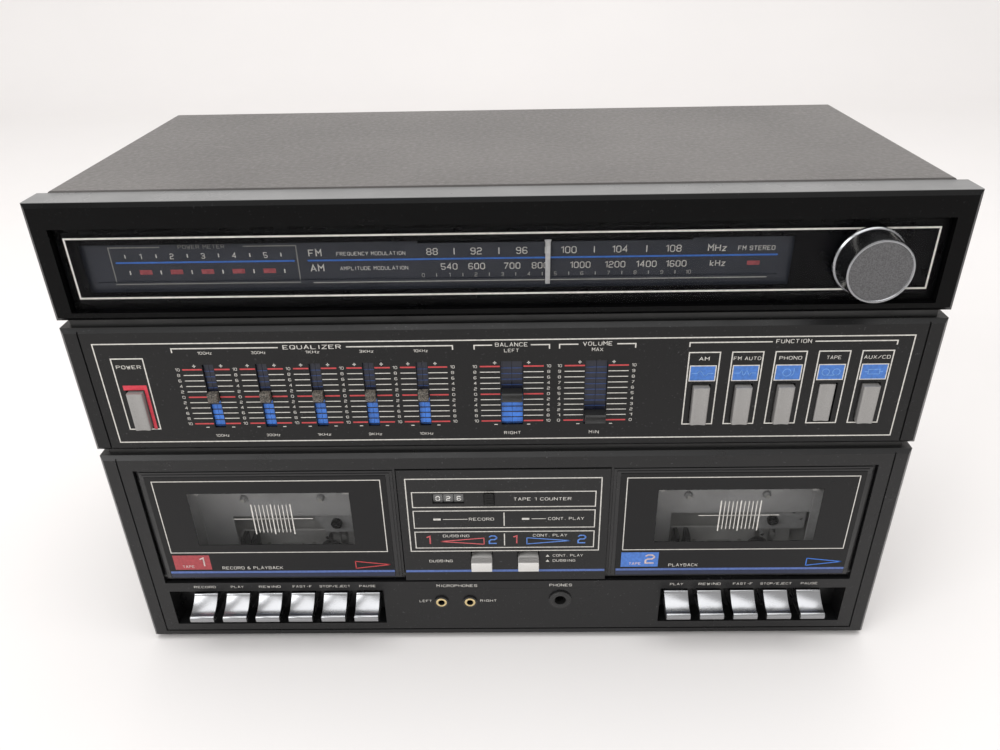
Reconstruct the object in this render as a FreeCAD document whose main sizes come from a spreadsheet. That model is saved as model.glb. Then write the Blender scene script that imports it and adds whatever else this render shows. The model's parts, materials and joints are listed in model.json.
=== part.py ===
"""Compact stereo with a tuner, a five-band equaliser and two cassette decks.

Every sub-part is an object of one parametric document.  Its sizes are bound to the
spreadsheet called Sizes.  X runs to the right, Y to the back and Z up.  Inside this file
depths are measured from the front faces of the bezels; each finished sub-part is then
moved so that the row's origin lies under the middle of the whole object.
"""

import FreeCAD, Part
import os

import Sketcher
from FreeCAD import Placement, Rotation, Vector

document = FreeCAD.newDocument("cassette_player")

# ---------------------------------------------------------------- driving dimensions

DRIVING_DIMENSIONS = {
    # cabinet
    "cabinet_width": 410.0,
    "cover_width": 401.0,
    "cover_wall": 1.6,
    "cover_rise": 0.9,
    "cover_corner_radius": 2.0,
    "cabinet_depth": 176.7,
    "rear_socket_reach": 8.0,
    "foot_height": 2.4,
    "foot_radius": 9.0,
    "foot_inset_x": 30.0,
    "foot_inset_y": 22.0,
    "deck_height": 127.0,
    "equaliser_height": 68.0,
    "tuner_height": 55.7,
    "module_gap": 4.0,
    "sheet_metal": 1.6,
    # bezels
    "bezel_depth": 16.4,
    "bezel_wall": 3.0,
    "bezel_chamfer": 2.0,
    "groove_width": 0.8,
    "groove_depth": 0.7,
    "end_strip_width": 9.0,
    # dial
    "dial_width": 391.8,
    "dial_low_margin": 4.3,
    "dial_height": 39.8,
    "dial_recess": 2.5,
    "dial_window_thickness": 2.0,
    "dial_ledge": 2.0,
    "dial_ledge_lip": 3.0,
    "dial_scale_thickness": 1.0,
    "pointer_rest_x": 21.9,
    "pointer_travel_left": 55.0,
    "pointer_travel_right": 61.0,
    "pointer_width": 2.0,
    "pointer_thickness": 0.7,
    # tuning knob
    "knob_x": 162.9,
    "knob_above_tuner_base": 24.2,
    "knob_radius": 15.2,
    "knob_face_radius": 14.6,
    "knob_skirt_radius": 16.0,
    "knob_reach": 11.7,
    "tuning_shaft_radius": 3.0,
    "drum_radius": 18.0,
    "drum_x": 118.0,
    # silver push buttons
    "button_width": 7.7,
    "button_height": 20.6,
    "button_reach": 6.5,
    "button_travel": 4.0,
    "button_slot_width": 9.0,
    "button_slot_height": 22.4,
    "button_above_base": 24.2,
    "button_corner_radius": 0.7,
    "power_x": -176.5,
    "function_first_x": 95.4,
    "function_pitch": 20.1,
    # slide controls
    "slot_height": 35.3,
    "slot_above_base": 31.3,
    "slider_travel": 30.0,
    "slider_stem_width": 1.4,
    "band_slot_width": 5.4,
    "band_middle_x": -88.15,
    "band_pitch": 25.4,
    "wide_slot_width": 10.5,
    "balance_x": 5.2,
    "volume_x": 45.3,
    "volume_setting": -12.5,
    "cap_height": 4.9,
    "cap_reach": 3.0,
    "wide_cap_reach": 5.0,
    "liner_depth": 5.0,
    "liner_wall": 2.0,
    # deck front
    "deck_opening_width": 379.0,
    "deck_opening_low": 41.6,
    "deck_opening_height": 76.8,
    "door_width": 129.4,
    "door_height": 73.4,
    "door_outer_gap": 2.2,
    "door_low_gap": 1.7,
    "door_frame_depth": 3.5,
    "door_pane_thickness": 1.5,
    "door_pane_margin": 1.7,
    "door_window_width": 85.0,
    "door_window_height": 34.8,
    "door_window_low": 25.6,
    "door_hinge_depth": 2.0,
    "door_hinge_height": 2.5,
    "door_pin_radius": 1.0,
    "door_pin_root": 1.5,
    "door_pin_reach": 3.8,
    "centre_panel_width": 109.8,
    # cassette and mechanism
    "cassette_width": 100.4,
    "cassette_thickness": 12.0,
    "cassette_low": 51.0,
    "cassette_clearance": 0.5,
    "deck_middle_inset": 0.5,
    "holder_wall": 1.5,
    "holder_room": 5.8,
    "spindle_spacing": 42.5,
    "spindle_height": 85.6,
    "spindle_tip_depth": 17.0,
    "chassis_front": 28.0,
    "chassis_thickness": 2.0,
    "reel_table_radius": 11.0,
    "reel_table_thickness": 3.0,
    "spindle_radius": 4.2,
    "spindle_pin_radius": 1.0,
    "capstan_offset": 22.0,
    "capstan_height": 58.6,
    "capstan_radius": 1.0,
    "flywheel_radius": 19.0,
    "flywheel_thickness": 7.0,
    "motor_offset": 34.0,
    "motor_radius": 15.0,
    "motor_length": 24.0,
    "pulley_radius": 4.0,
    "belt_thickness": 1.0,
    "bridge_lift": 5.0,
    "pinch_roller_radius": 6.0,
    # piano keys
    "key_pitch": 18.25,
    "key_width": 13.1,
    "key_left_middle": -122.3,
    "key_right_middle": 131.5,
    "key_well_low": 10.3,
    "key_well_height": 25.0,
    "key_well_depth": 12.0,
    "key_well_outer_margin": 14.2,
    "key_well_inner_margin": 1.9,
    "key_top": 34.2,
    "key_nose": 27.6,
    "key_lip": 24.4,
    "key_nose_reach": 11.5,
    "key_lip_reach": 12.8,
    "key_pivot_depth": 24.0,
    "key_pivot_height": 25.6,
    "key_shaft_radius": 1.5,
    "key_arm_width": 6.0,
    # small controls and jacks
    "tape_button_width": 11.2,
    "tape_button_height": 6.3,
    "tape_button_reach": 5.0,
    "tape_button_travel": 2.5,
    "dubbing_x": -12.3,
    "mode_x": 13.0,
    "tape_button_low": 53.0,
    "counter_x": -28.7,
    "counter_height": 99.1,
    "counter_width": 16.5,
    "counter_window_height": 6.2,
    "counter_wheel_radius": 6.5,
    "reset_x": -7.4,
    "reset_width": 5.0,
    "reset_height": 7.8,
    "reset_reach": 2.0,
    "reset_travel": 1.5,
    "microphone_x": -27.9,
    "microphone_spacing": 16.1,
    "microphone_height": 26.6,
    "microphone_bore_radius": 1.8,
    "phones_x": 30.8,
    "phones_height": 27.9,
    "phones_bore_radius": 3.2,
    "jack_collar_reach": 1.0,
    # clearances
    "running_clearance": 0.05,
    "sliding_clearance": 0.3,
    "window_clearance": 0.1,
}


class Size:
    """A length that keeps its value together with the formula that drives it."""

    def __init__(self, value, text=None):
        self.value = float(value)
        self.text = text or repr(float(value))

    def combine(self, sign, other, result, swapped=False):
        other = as_size(other)
        first, second = (other, self) if swapped else (self, other)
        return Size(result(first.value, second.value), f"({first.text} {sign} {second.text})")

    def __add__(self, other):
        return self.combine("+", other, lambda a, b: a + b)

    def __radd__(self, other):
        return self.combine("+", other, lambda a, b: a + b, True)

    def __sub__(self, other):
        return self.combine("-", other, lambda a, b: a - b)

    def __rsub__(self, other):
        return self.combine("-", other, lambda a, b: a - b, True)

    def __mul__(self, other):
        return self.combine("*", other, lambda a, b: a * b)

    def __rmul__(self, other):
        return self.combine("*", other, lambda a, b: a * b, True)

    def __truediv__(self, other):
        return self.combine("/", other, lambda a, b: a / b)

    def __neg__(self):
        return Size(-self.value, f"(0 - {self.text})")


def as_size(length):
    return length if isinstance(length, Size) else Size(length)


def fill_spreadsheet():
    """Write every driving dimension into its own cell and give the cell an alias."""
    sheet = document.addObject("Spreadsheet::Sheet", "Sizes")
    for line, (alias, value) in enumerate(DRIVING_DIMENSIONS.items(), start=1):
        sheet.set(f"A{line}", alias)
        sheet.set(f"B{line}", str(value))
        sheet.setAlias(f"B{line}", alias)
    document.recompute()


class Sizes:
    """The driving dimensions, each by its alias."""


def read_dimensions():
    for alias, value in DRIVING_DIMENSIONS.items():
        setattr(Sizes, alias, Size(value, f"Sizes.{alias}"))


fill_spreadsheet()
read_dimensions()
S = Sizes

# ---------------------------------------------------------------- drawing helpers


def bind(item, name, length):
    """Tie one property of a document object to a formula."""
    item.setExpression(name, as_size(length).text)


def shift(item, x=0.0, y=0.0, z=0.0):
    """Tie an object's place to formulas."""
    bind(item, "Placement.Base.x", x)
    bind(item, "Placement.Base.y", y)
    bind(item, "Placement.Base.z", z)


def box(x, y, z):
    """A block between the two limits given along each axis."""
    block = document.addObject("Part::Box", "block")
    for name, (low, high) in (("Length", x), ("Width", y), ("Height", z)):
        bind(block, name, as_size(high) - low)
    shift(block, x[0], y[0], z[0])
    return block


TURN_FROM_Z = {
    "x": Rotation(Vector(0, 1, 0), 90),
    "y": Rotation(Vector(1, 0, 0), -90),
    "z": Rotation(),
}


def rod(axis, radius, start, length):
    """A cylinder that starts at a point and runs along one axis."""
    cylinder = document.addObject("Part::Cylinder", "rod")
    bind(cylinder, "Radius", radius)
    bind(cylinder, "Height", length)
    cylinder.Placement = Placement(Vector(), TURN_FROM_Z[axis])
    shift(cylinder, *start)
    return cylinder


def fuse(pieces):
    joined = document.addObject("Part::MultiFuse", "joined")
    joined.Shapes = pieces
    return joined


def group(pieces):
    """Separate solids that are kept as one sub-part."""
    together = document.addObject("Part::Compound", "together")
    together.Links = pieces
    return together


def cut(base, tools):
    trimmed = document.addObject("Part::Cut", "trimmed")
    trimmed.Base = base
    trimmed.Tool = tools[0] if len(tools) == 1 else fuse(tools)
    return trimmed


def new_body(name):
    return document.addObject("PartDesign::Body", name)


def new_sketch(body, role, offset=0.0):
    """A sketch on one of the body's own origin planes, moved along the plane's normal."""
    plane = [item for item in body.Origin.OriginFeatures if item.Role == role][0]
    sketch = body.newObject("Sketcher::SketchObject", "sketch")
    sketch.AttachmentSupport = [(plane, "")]
    sketch.MapMode = "FlatFace"
    bind(sketch, "AttachmentOffset.Base.z", offset)
    return sketch


def fix_point(sketch, geometry, end, across, along):
    """Hold one end of a line at two distances from the sketch's origin."""
    for kind, length in (("DistanceX", across), ("DistanceY", along)):
        length = as_size(length)
        constraint = Sketcher.Constraint(kind, -1, 1, geometry, end, length.value)
        number = sketch.addConstraint(constraint)
        sketch.setExpression(f"Constraints[{number}]", length.text)


def draw_rectangle(sketch, across, along):
    """A rectangle between two limits each way."""
    low_x, high_x = as_size(across[0]), as_size(across[1])
    low_y, high_y = as_size(along[0]), as_size(along[1])
    corners = [Vector(x.value, y.value, 0) for x, y in
               ((low_x, low_y), (high_x, low_y), (high_x, high_y), (low_x, high_y))]
    first = sketch.GeometryCount
    for number in range(4):
        sketch.addGeometry(Part.LineSegment(corners[number], corners[(number + 1) % 4]))
    for number in range(4):
        following = first + (number + 1) % 4
        sketch.addConstraint(Sketcher.Constraint("Coincident", first + number, 2, following, 1))
        kind = "Vertical" if number % 2 else "Horizontal"
        sketch.addConstraint(Sketcher.Constraint(kind, first + number))
    fix_point(sketch, first, 1, low_x, low_y)
    fix_point(sketch, first + 2, 1, high_x, high_y)


def draw_circle(sketch, x, y, radius):
    radius = as_size(radius)
    centre = Vector(as_size(x).value, as_size(y).value, 0)
    circle = sketch.addGeometry(Part.Circle(centre, Vector(0, 0, 1), radius.value))
    number = sketch.addConstraint(Sketcher.Constraint("Radius", circle, radius.value))
    sketch.setExpression(f"Constraints[{number}]", radius.text)
    fix_point(sketch, circle, 3, x, y)


def draw_outline(sketch, points):
    """A closed outline of straight lines through the given points."""
    places = [Vector(as_size(x).value, as_size(y).value, 0) for x, y in points]
    first = sketch.GeometryCount
    count = len(points)
    for number in range(count):
        sketch.addGeometry(Part.LineSegment(places[number], places[(number + 1) % count]))
    for number in range(count):
        following = first + (number + 1) % count
        sketch.addConstraint(Sketcher.Constraint("Coincident", first + number, 2, following, 1))
    for number, (x, y) in enumerate(points):
        fix_point(sketch, first + number, 1, x, y)


def pad(body, sketch, length, reversed_side=False, midplane=False):
    feature = body.newObject("PartDesign::Pad", "pad")
    feature.Profile = sketch
    bind(feature, "Length", length)
    feature.Reversed = reversed_side
    feature.Midplane = midplane
    return feature


def pocket(body, sketch, depth, reversed_side=False):
    """Cut a sketch into a body, and make sure that it took something away."""
    document.recompute()
    before = body.Shape.Volume
    feature = body.newObject("PartDesign::Pocket", "pocket")
    feature.Profile = sketch
    bind(feature, "Length", depth)
    feature.Reversed = reversed_side
    document.recompute()
    if body.Shape.Volume >= before:
        raise ValueError(f"a pocket of {body.Label} cuts nothing")
    return feature


def front_pocket(body, rectangles, depth, start=0.0):
    """Cut rectangles into a front panel from a given depth towards the back."""
    sketch = new_sketch(body, "XZ_Plane", -as_size(start))
    for across, upward in rectangles:
        draw_rectangle(sketch, across, upward)
    return pocket(body, sketch, depth)


def round_or_chamfer(body, kind, edges_wanted, radius):
    """Fillet or chamfer the edges of the body's last feature that a test picks out."""
    document.recompute()
    feature = body.Tip
    names = [f"Edge{number}" for number, edge in enumerate(feature.Shape.Edges, start=1)
             if edges_wanted(edge)]
    if not names:
        raise ValueError(f"no edge of {body.Label} to finish")
    finish = body.newObject(f"PartDesign::{kind}", kind.lower())
    finish.Base = (feature, names)
    bind(finish, "Radius" if kind == "Fillet" else "Size", radius)
    return finish


def lies_at(edge, axis, place):
    """True when a whole edge lies in the plane across one axis at one place."""
    return all(abs(getattr(vertex.Point, axis) - place) < 1e-4 for vertex in edge.Vertexes)


sub_parts = []

# ---------------------------------------------------------------- places worked out

front_reach = S.key_lip_reach
origin_depth = (S.cabinet_depth + S.rear_socket_reach - front_reach) / 2

base = S.foot_height
deck_top = base + S.deck_height
equaliser_base = deck_top + S.module_gap
equaliser_top = equaliser_base + S.equaliser_height
tuner_base = equaliser_top + S.module_gap
tuner_top = tuner_base + S.tuner_height
cover_top = tuner_top + S.cover_rise
half_width = S.cabinet_width / 2
half_cover = S.cover_width / 2
inside_cover = half_cover - S.cover_wall
frame_back = S.bezel_depth + S.sheet_metal


def finish(item, name, x=0.0, y=0.0, z=0.0):
    """Name a finished sub-part and move it from the front's depth to the row's origin."""
    item.Label = name
    shift(item, x, as_size(y) - origin_depth, z)
    sub_parts.append(item)


def symmetric(half):
    half = as_size(half)
    return (-half, half)


def centred(middle, width):
    middle = as_size(middle)
    return (middle - as_size(width) / 2, middle + as_size(width) / 2)


# ---------------------------------------------------------------- cabinet

slot_base = equaliser_base + S.slot_above_base
button_base = equaliser_base + S.button_above_base
dial_low = tuner_base + S.dial_low_margin
dial_high = dial_low + S.dial_height
knob_height = tuner_base + S.knob_above_tuner_base
opening_low = base + S.deck_opening_low
opening_high = opening_low + S.deck_opening_height
half_opening = S.deck_opening_width / 2
door_low = opening_low + S.door_low_gap
door_high = door_low + S.door_height
door_middle = half_opening - S.door_outer_gap - S.door_width / 2
deck_middles = {"deck_1": -(door_middle - S.deck_middle_inset),
                "deck_2": door_middle - S.deck_middle_inset}
spindle_z = base + S.spindle_height
capstan_z = base + S.capstan_height
pivot_y = S.key_pivot_depth
pivot_z = base + S.key_pivot_height
well_z = (base + S.key_well_low, base + S.key_well_low + S.key_well_height)

LEFT_KEYS = ("record", "play", "rewind", "fast_forward", "stop_eject", "pause")
RIGHT_KEYS = LEFT_KEYS[1:]
KEY_ROWS = {
    "deck_1": (S.key_left_middle, LEFT_KEYS),
    "deck_2": (S.key_right_middle, RIGHT_KEYS),
}


def key_places(deck):
    """Each key of one row with the place of its middle."""
    middle, names = KEY_ROWS[deck]
    first = middle - S.key_pitch * (len(names) - 1) / 2
    return [(name, first + S.key_pitch * number) for number, name in enumerate(names)]


def well_x(deck):
    """The two sides of the recess around one row of keys, wider on the cabinet's outer side."""
    middle, names = KEY_ROWS[deck]
    half_row = S.key_pitch * (len(names) - 1) / 2 + S.key_width / 2
    if deck == "deck_1":
        return (middle - half_row - S.key_well_outer_margin, middle + half_row + S.key_well_inner_margin)
    return (middle - half_row - S.key_well_inner_margin, middle + half_row + S.key_well_outer_margin)


BAND_NAMES = ("100hz", "300hz", "1khz", "3khz", "10khz")
FUNCTIONS = ("am", "fm", "phono", "tape", "aux")


def band_places():
    return [(name, S.band_middle_x + S.band_pitch * (number - 2))
            for number, name in enumerate(BAND_NAMES)]


def button_places():
    functions = [(name, S.function_first_x + S.function_pitch * number)
                 for number, name in enumerate(FUNCTIONS)]
    return [("power", S.power_x)] + functions


def slot_places():
    """Every slide control's slot: its name, middle and width."""
    slots = [(name, place, S.band_slot_width) for name, place in band_places()]
    slots.append(("balance", S.balance_x, S.wide_slot_width))
    slots.append(("volume", S.volume_x, S.wide_slot_width))
    return slots


slot_z = (slot_base - S.slot_height / 2, slot_base + S.slot_height / 2)
button_slot_z = centred(button_base, S.button_slot_height)
microphones = (S.microphone_x - S.microphone_spacing / 2, S.microphone_x + S.microphone_spacing / 2)
microphone_z = base + S.microphone_height
phones_z = base + S.phones_height
microphone_sleeve = S.microphone_bore_radius + 1.0
phones_sleeve = S.phones_bore_radius + 1.8


def make_cabinet_cover():
    body = new_body("cover")
    outline = new_sketch(body, "XZ_Plane", -S.bezel_depth)
    draw_rectangle(outline, symmetric(half_cover), (base, cover_top))
    pad(body, outline, S.cabinet_depth - S.bezel_depth, reversed_side=True)

    def top_corner(edge):
        return lies_at(edge, "z", cover_top.value) and edge.Length > 100 and \
            abs(edge.Vertexes[0].Point.x - edge.Vertexes[-1].Point.x) < 1e-4

    round_or_chamfer(body, "Fillet", top_corner, S.cover_corner_radius)
    front_pocket(body, [(symmetric(inside_cover), (base - 1.0, cover_top - S.cover_wall))],
                 S.cabinet_depth, S.bezel_depth - 1.0)
    holes = [rod("x", screw_radius + 0.2, (side * half_cover - 5.0, depth, screw_z), 10.0)
             for side in (-1, 1) for depth in side_screw_depths]
    finish(cut(body, holes), "cabinet_cover")


screw_radius = Size(1.5)
screw_z = base + 12.0
side_screw_depths = (S.bezel_depth + 30.0, S.cabinet_depth - 30.0)
rear_screws_x = half_cover - 14.0
rear_screws_z = (base + 18.0, cover_top - 18.0)
flange_height = 22.0
board_height = base + S.sheet_metal + 7.0


def make_base_pan():
    rear = S.cabinet_depth - S.sheet_metal
    floor = box(symmetric(inside_cover), (frame_back, rear), (base, base + S.sheet_metal))
    flanges = []
    for side in (-1, 1):
        inner, outer = side * (inside_cover - S.sheet_metal), side * inside_cover
        across = (inner, outer) if side > 0 else (outer, inner)
        flanges.append(box(across, (frame_back, rear), (base, base + flange_height)))
    tabs = [box(centred(side * rear_screws_x, 12.0), (rear - S.sheet_metal, rear),
                (base, base + 26.0)) for side in (-1, 1)]
    posts = [rod("z", 3.0, (x, y, base), board_height - base)
             for x in (-60.0, 160.0) for y in (100.0, 160.0)]
    holes = [rod("x", screw_radius + 0.05, (side * inside_cover - 3.0, depth, screw_z), 6.0)
             for side in (-1, 1) for depth in side_screw_depths]
    holes += [rod("y", screw_radius + 0.05, (side * rear_screws_x, rear - 3.0, rear_screws_z[0]), 6.0)
              for side in (-1, 1)]
    finish(cut(fuse([floor] + flanges + tabs + posts), holes), "base_pan")


rca_pitch = 14.0
rca_columns = 4
rca_first_x = 60.0
rca_rows_z = (base + 40.0, base + 54.0)
rca_radius = 4.15
terminal_x = -40.0
terminal_z = base + 44.0
gland_x = -165.0
gland_z = base + 34.0
gland_radius = 7.0


def rca_places():
    return [(rca_first_x + rca_pitch * column, row)
            for column in range(rca_columns) for row in rca_rows_z]


def make_rear_panel():
    rear = S.cabinet_depth - S.sheet_metal
    sheet = box(symmetric(inside_cover), (rear, S.cabinet_depth),
                (base, cover_top - S.cover_wall))
    holes = [rod("y", rca_radius - 0.4, (x, rear - 1.0, z), 4.0) for x, z in rca_places()]
    holes.append(rod("y", gland_radius - 1.5, (gland_x, rear - 1.0, gland_z), 4.0))
    holes += [rod("y", screw_radius + 0.2, (side * rear_screws_x, rear - 1.0, z), 4.0)
              for side in (-1, 1) for z in rear_screws_z]
    holes += [box(centred(slot_x, 3.0), (rear - 1.0, S.cabinet_depth + 1.0),
                  (tuner_base - 60.0, tuner_base - 20.0))
              for slot_x in [-160.0 + 12.0 * number for number in range(8)]]
    finish(cut(sheet, holes), "rear_panel")


def make_front_frame():
    """The moulded frame that carries the three bezels, with a neck in each gap."""
    depth = (S.bezel_depth, frame_back)
    plate = box(symmetric(inside_cover), depth, (base, cover_top - S.cover_wall))
    necks = [box(symmetric(half_cover), (4.0, S.bezel_depth), (low, low + S.module_gap))
             for low in (deck_top, equaliser_top)]
    shelf = box((-190.0, 90.0), (S.bezel_depth, 70.0), (tuner_base + 2.0, tuner_base + 4.0))
    drum_pin = rod("y", 2.0, (S.drum_x, S.bezel_depth, knob_height), 16.0)
    bush = rod("y", 6.0, (S.knob_x, S.bezel_depth - 5.0, knob_height), 5.0 + S.sheet_metal)
    windows = []
    holder_width = S.cassette_width + (S.cassette_clearance + S.holder_wall + S.holder_room) * 2
    for deck, middle in deck_middles.items():
        windows.append(box(centred(middle, holder_width), (0.0, 40.0),
                           (opening_low + 2.0, opening_high - 2.0)))
        low_x, high_x = well_x(deck)
        windows.append(box((low_x + 2.0, high_x - 2.0), (0.0, 40.0), (well_z[0], well_z[1] + 1.0)))
    for name, place, width in slot_places():
        windows.append(box(centred(place, width), (15.0, 40.0), slot_z))
    for name, place in button_places():
        windows.append(box(centred(place, S.button_slot_width), (15.0, 40.0), button_slot_z))
    windows.append(box(centred(0.0, 96.0), (15.0, 40.0), (opening_low + 6.0, opening_high - 6.0)))
    windows.append(box((-48.0, 50.0), (15.0, 40.0), (base + 14.0, opening_low - 4.0)))
    windows.append(rod("y", S.tuning_shaft_radius + S.running_clearance,
                       (S.knob_x, 5.0, knob_height), 30.0))
    finish(cut(fuse([plate, shelf, drum_pin, bush] + necks), windows), "front_frame")


def new_bezel(name, low, high):
    """A deep moulded front with bevelled front edges, open at the back."""
    body = new_body(name)
    outline = new_sketch(body, "XZ_Plane")
    draw_rectangle(outline, symmetric(half_width), (low, high))
    pad(body, outline, S.bezel_depth, reversed_side=True)
    round_or_chamfer(body, "Chamfer", lambda edge: lies_at(edge, "y", 0.0), S.bezel_chamfer)
    return body


def end_grooves(low, high):
    """The fine upright lines that set off the end strips of a bezel."""
    inner = half_width - S.end_strip_width
    right = (inner, inner + S.groove_width)
    left = (-inner - S.groove_width, -inner)
    return [(left, (low, high)), (right, (low, high))]


def make_tuner_bezel():
    body = new_bezel("tuner", tuner_base, tuner_top)
    dial_x = symmetric(S.dial_width / 2)
    window_back = S.dial_recess + S.dial_window_thickness
    front_pocket(body, [(dial_x, (dial_low, dial_high))], window_back)
    lip = S.dial_ledge_lip
    ledge_x = symmetric(S.dial_width / 2 - lip)
    front_pocket(body, [(ledge_x, (dial_low + lip, dial_high - lip))], S.dial_ledge, window_back)
    wall = S.bezel_wall
    front_pocket(body, [(symmetric(half_width - wall), (tuner_base + wall, tuner_top - wall))],
                 S.bezel_depth, window_back + S.dial_ledge)
    finish(body, "tuner_bezel")


def make_equaliser_bezel():
    body = new_bezel("equaliser", equaliser_base, equaliser_top)
    wall = S.bezel_wall
    front_pocket(body, end_grooves(equaliser_base + 0.5, equaliser_top - 0.5), S.groove_depth)
    holes = [(centred(place, width), slot_z) for name, place, width in slot_places()]
    holes += [(centred(place, S.button_slot_width), button_slot_z)
              for name, place in button_places()]
    front_pocket(body, holes, S.bezel_depth)
    inside = [(symmetric(half_width - wall), (equaliser_base + wall, equaliser_top - wall))]
    front_pocket(body, inside, S.bezel_depth, wall)
    finish(body, "equaliser_bezel")


def make_deck_bezel():
    body = new_bezel("deck", base, deck_top)
    wall = S.bezel_wall
    groove_low = base + S.groove_width * 6
    front_pocket(body, end_grooves(groove_low, deck_top - 0.5), S.groove_depth)
    between_grooves = symmetric(half_width - S.end_strip_width)
    front_pocket(body, [(between_grooves, (groove_low, groove_low + S.groove_width))], S.groove_depth)
    cavity_top = (opening_low - wall, deck_top - wall)
    rooms = [(symmetric(half_opening - 6.0), cavity_top)]
    front_pocket(body, rooms, S.bezel_depth, wall)
    between = (well_x("deck_1")[1] + wall, well_x("deck_2")[0] - wall)
    front_pocket(body, [(between, (base + wall, opening_low - wall * 2))], S.bezel_depth, wall)
    front_pocket(body, [(symmetric(half_opening), (opening_low, opening_high))], S.bezel_depth)
    wells = [(well_x(deck), well_z) for deck in KEY_ROWS]
    front_pocket(body, wells, S.key_well_depth)
    arm_slots = [(centred(place, S.key_arm_width + S.sliding_clearance * 4),
                  (pivot_z - 6.5, pivot_z + 4.5))
                 for deck in KEY_ROWS for name, place in key_places(deck)]
    front_pocket(body, arm_slots, S.bezel_depth)
    holes = [rod("x", S.door_pin_radius + S.running_clearance,
                 (side * (half_opening + 2.0) - 3.0, S.door_hinge_depth, door_low + S.door_hinge_height),
                 6.0) for side in (-1, 1)]
    holes += [rod("y", microphone_sleeve, (place, -1.0, microphone_z), 20.0)
              for place in microphones]
    holes.append(rod("y", phones_sleeve, (S.phones_x, -1.0, phones_z), 20.0))
    finish(cut(body, holes), "deck_bezel")


panel_x = centred(0.2, S.centre_panel_width)
panel_z = (opening_low + 1.1, opening_high - 1.1)
counter_z = base + S.counter_height
tape_button_x = {"dubbing": S.dubbing_x, "mode": S.mode_x}
tape_button_z = (base + S.tape_button_low, base + S.tape_button_low + S.tape_button_height)


def make_centre_panel():
    body = new_body("centre")
    outline = new_sketch(body, "XZ_Plane")
    draw_rectangle(outline, panel_x, panel_z)
    pad(body, outline, S.bezel_depth, reversed_side=True)
    wall = S.bezel_wall
    gap = S.sliding_clearance
    holes = [(centred(S.counter_x, S.counter_width), centred(counter_z, S.counter_window_height)),
             (centred(S.reset_x, S.reset_width + gap * 2), centred(counter_z, S.reset_height + gap * 2))]
    holes += [(centred(place, S.tape_button_width + gap * 2),
               (tape_button_z[0] - gap, tape_button_z[1] + 4.0))
              for place in tape_button_x.values()]
    front_pocket(body, holes, S.bezel_depth)
    front_pocket(body, [((panel_x[0] + wall, panel_x[1] - wall), (panel_z[0] + wall, panel_z[1] - wall))],
                 S.bezel_depth, wall)
    hinge_z = door_low + S.door_hinge_height
    pins = [rod("x", S.door_pin_radius + S.running_clearance,
                (edge - 3.0, S.door_hinge_depth, hinge_z), 6.0) for edge in panel_x]
    finish(cut(body, pins), "centre_panel")


def make_dial_window():
    window_y = (S.dial_recess, S.dial_recess + S.dial_window_thickness)
    gap = S.window_clearance
    sheet = box(symmetric(S.dial_width / 2 - gap), window_y, (dial_low + gap, dial_high - gap))
    hole = rod("y", S.tuning_shaft_radius + 1.0, (S.knob_x, 0.0, knob_height), 8.0)
    finish(cut(sheet, [hole]), "dial_window")


scale_front = S.dial_recess + S.dial_window_thickness + S.dial_ledge
scale_back = scale_front + S.dial_scale_thickness
pointer_slot_z = dial_high - 9.5
carriage_y = scale_back + 3.5
rail_radius = Size(1.5)


def make_dial_scale():
    """The dark plate behind the window, with the rod that the pointer's carriage rides on."""
    plate = box(symmetric(S.dial_width / 2 - 1.0), (scale_front, scale_back),
                (dial_low - 1.0, dial_high + 1.0))
    strip = box((-183.0, 125.0), (scale_front - 0.6, scale_front), (dial_low + 10.8, dial_low + 12.5))
    blocks = [box(centred(end, 5.0), (scale_back, carriage_y + 3.0), centred(pointer_slot_z, 7.0))
              for end in (-186.0, 136.0)]
    rail = rod("x", rail_radius, (-186.0, carriage_y, pointer_slot_z), 322.0)
    pointer_path = (S.pointer_rest_x - S.pointer_travel_left - 3.0,
                    S.pointer_rest_x + S.pointer_travel_right + 3.0)
    slot = box(pointer_path, (scale_front - 1.0, scale_back + 1.0), centred(pointer_slot_z, 2.2))
    hole = rod("y", S.tuning_shaft_radius + 1.0, (S.knob_x, 0.0, knob_height), 12.0)
    finish(fuse([cut(fuse([plate, strip]), [slot, hole])] + blocks + [rail]), "dial_scale")


def make_rubber_feet():
    feet = [rod("z", S.foot_radius, (side * (half_cover - S.foot_inset_x), depth, 0.0), S.foot_height)
            for side in (-1, 1)
            for depth in (frame_back + S.foot_inset_y, S.cabinet_depth - S.foot_inset_y)]
    finish(group(feet), "rubber_feet")


def make_case_screws():
    """Pan-head screws: two through each side of the cover and four in the rear panel."""
    head_radius, head_height = 3.0, 1.8
    screws = []
    for depth in side_screw_depths:
        right = rod("x", head_radius, (half_cover, depth, screw_z), head_height)
        right_shank = rod("x", screw_radius, (half_cover - 5.0, depth, screw_z), 5.0)
        left = rod("x", head_radius, (-half_cover - head_height, depth, screw_z), head_height)
        left_shank = rod("x", screw_radius, (-half_cover, depth, screw_z), 5.0)
        screws += [fuse([right, right_shank]), fuse([left, left_shank])]
    for side in (-1, 1):
        for height, length in ((rear_screws_z[0], 5.0), (rear_screws_z[1], 5.0)):
            place = (side * rear_screws_x, S.cabinet_depth, height)
            start = (side * rear_screws_x, S.cabinet_depth - length, height)
            screws.append(fuse([rod("y", head_radius, place, head_height),
                                rod("y", screw_radius, start, length)]))
    finish(group(screws), "case_screws")


# ---------------------------------------------------------------- electronics inside

slider_board_front = frame_back + 6.0
board_thickness = Size(1.6)
switch_width = S.button_slot_width - 1.0


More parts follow.
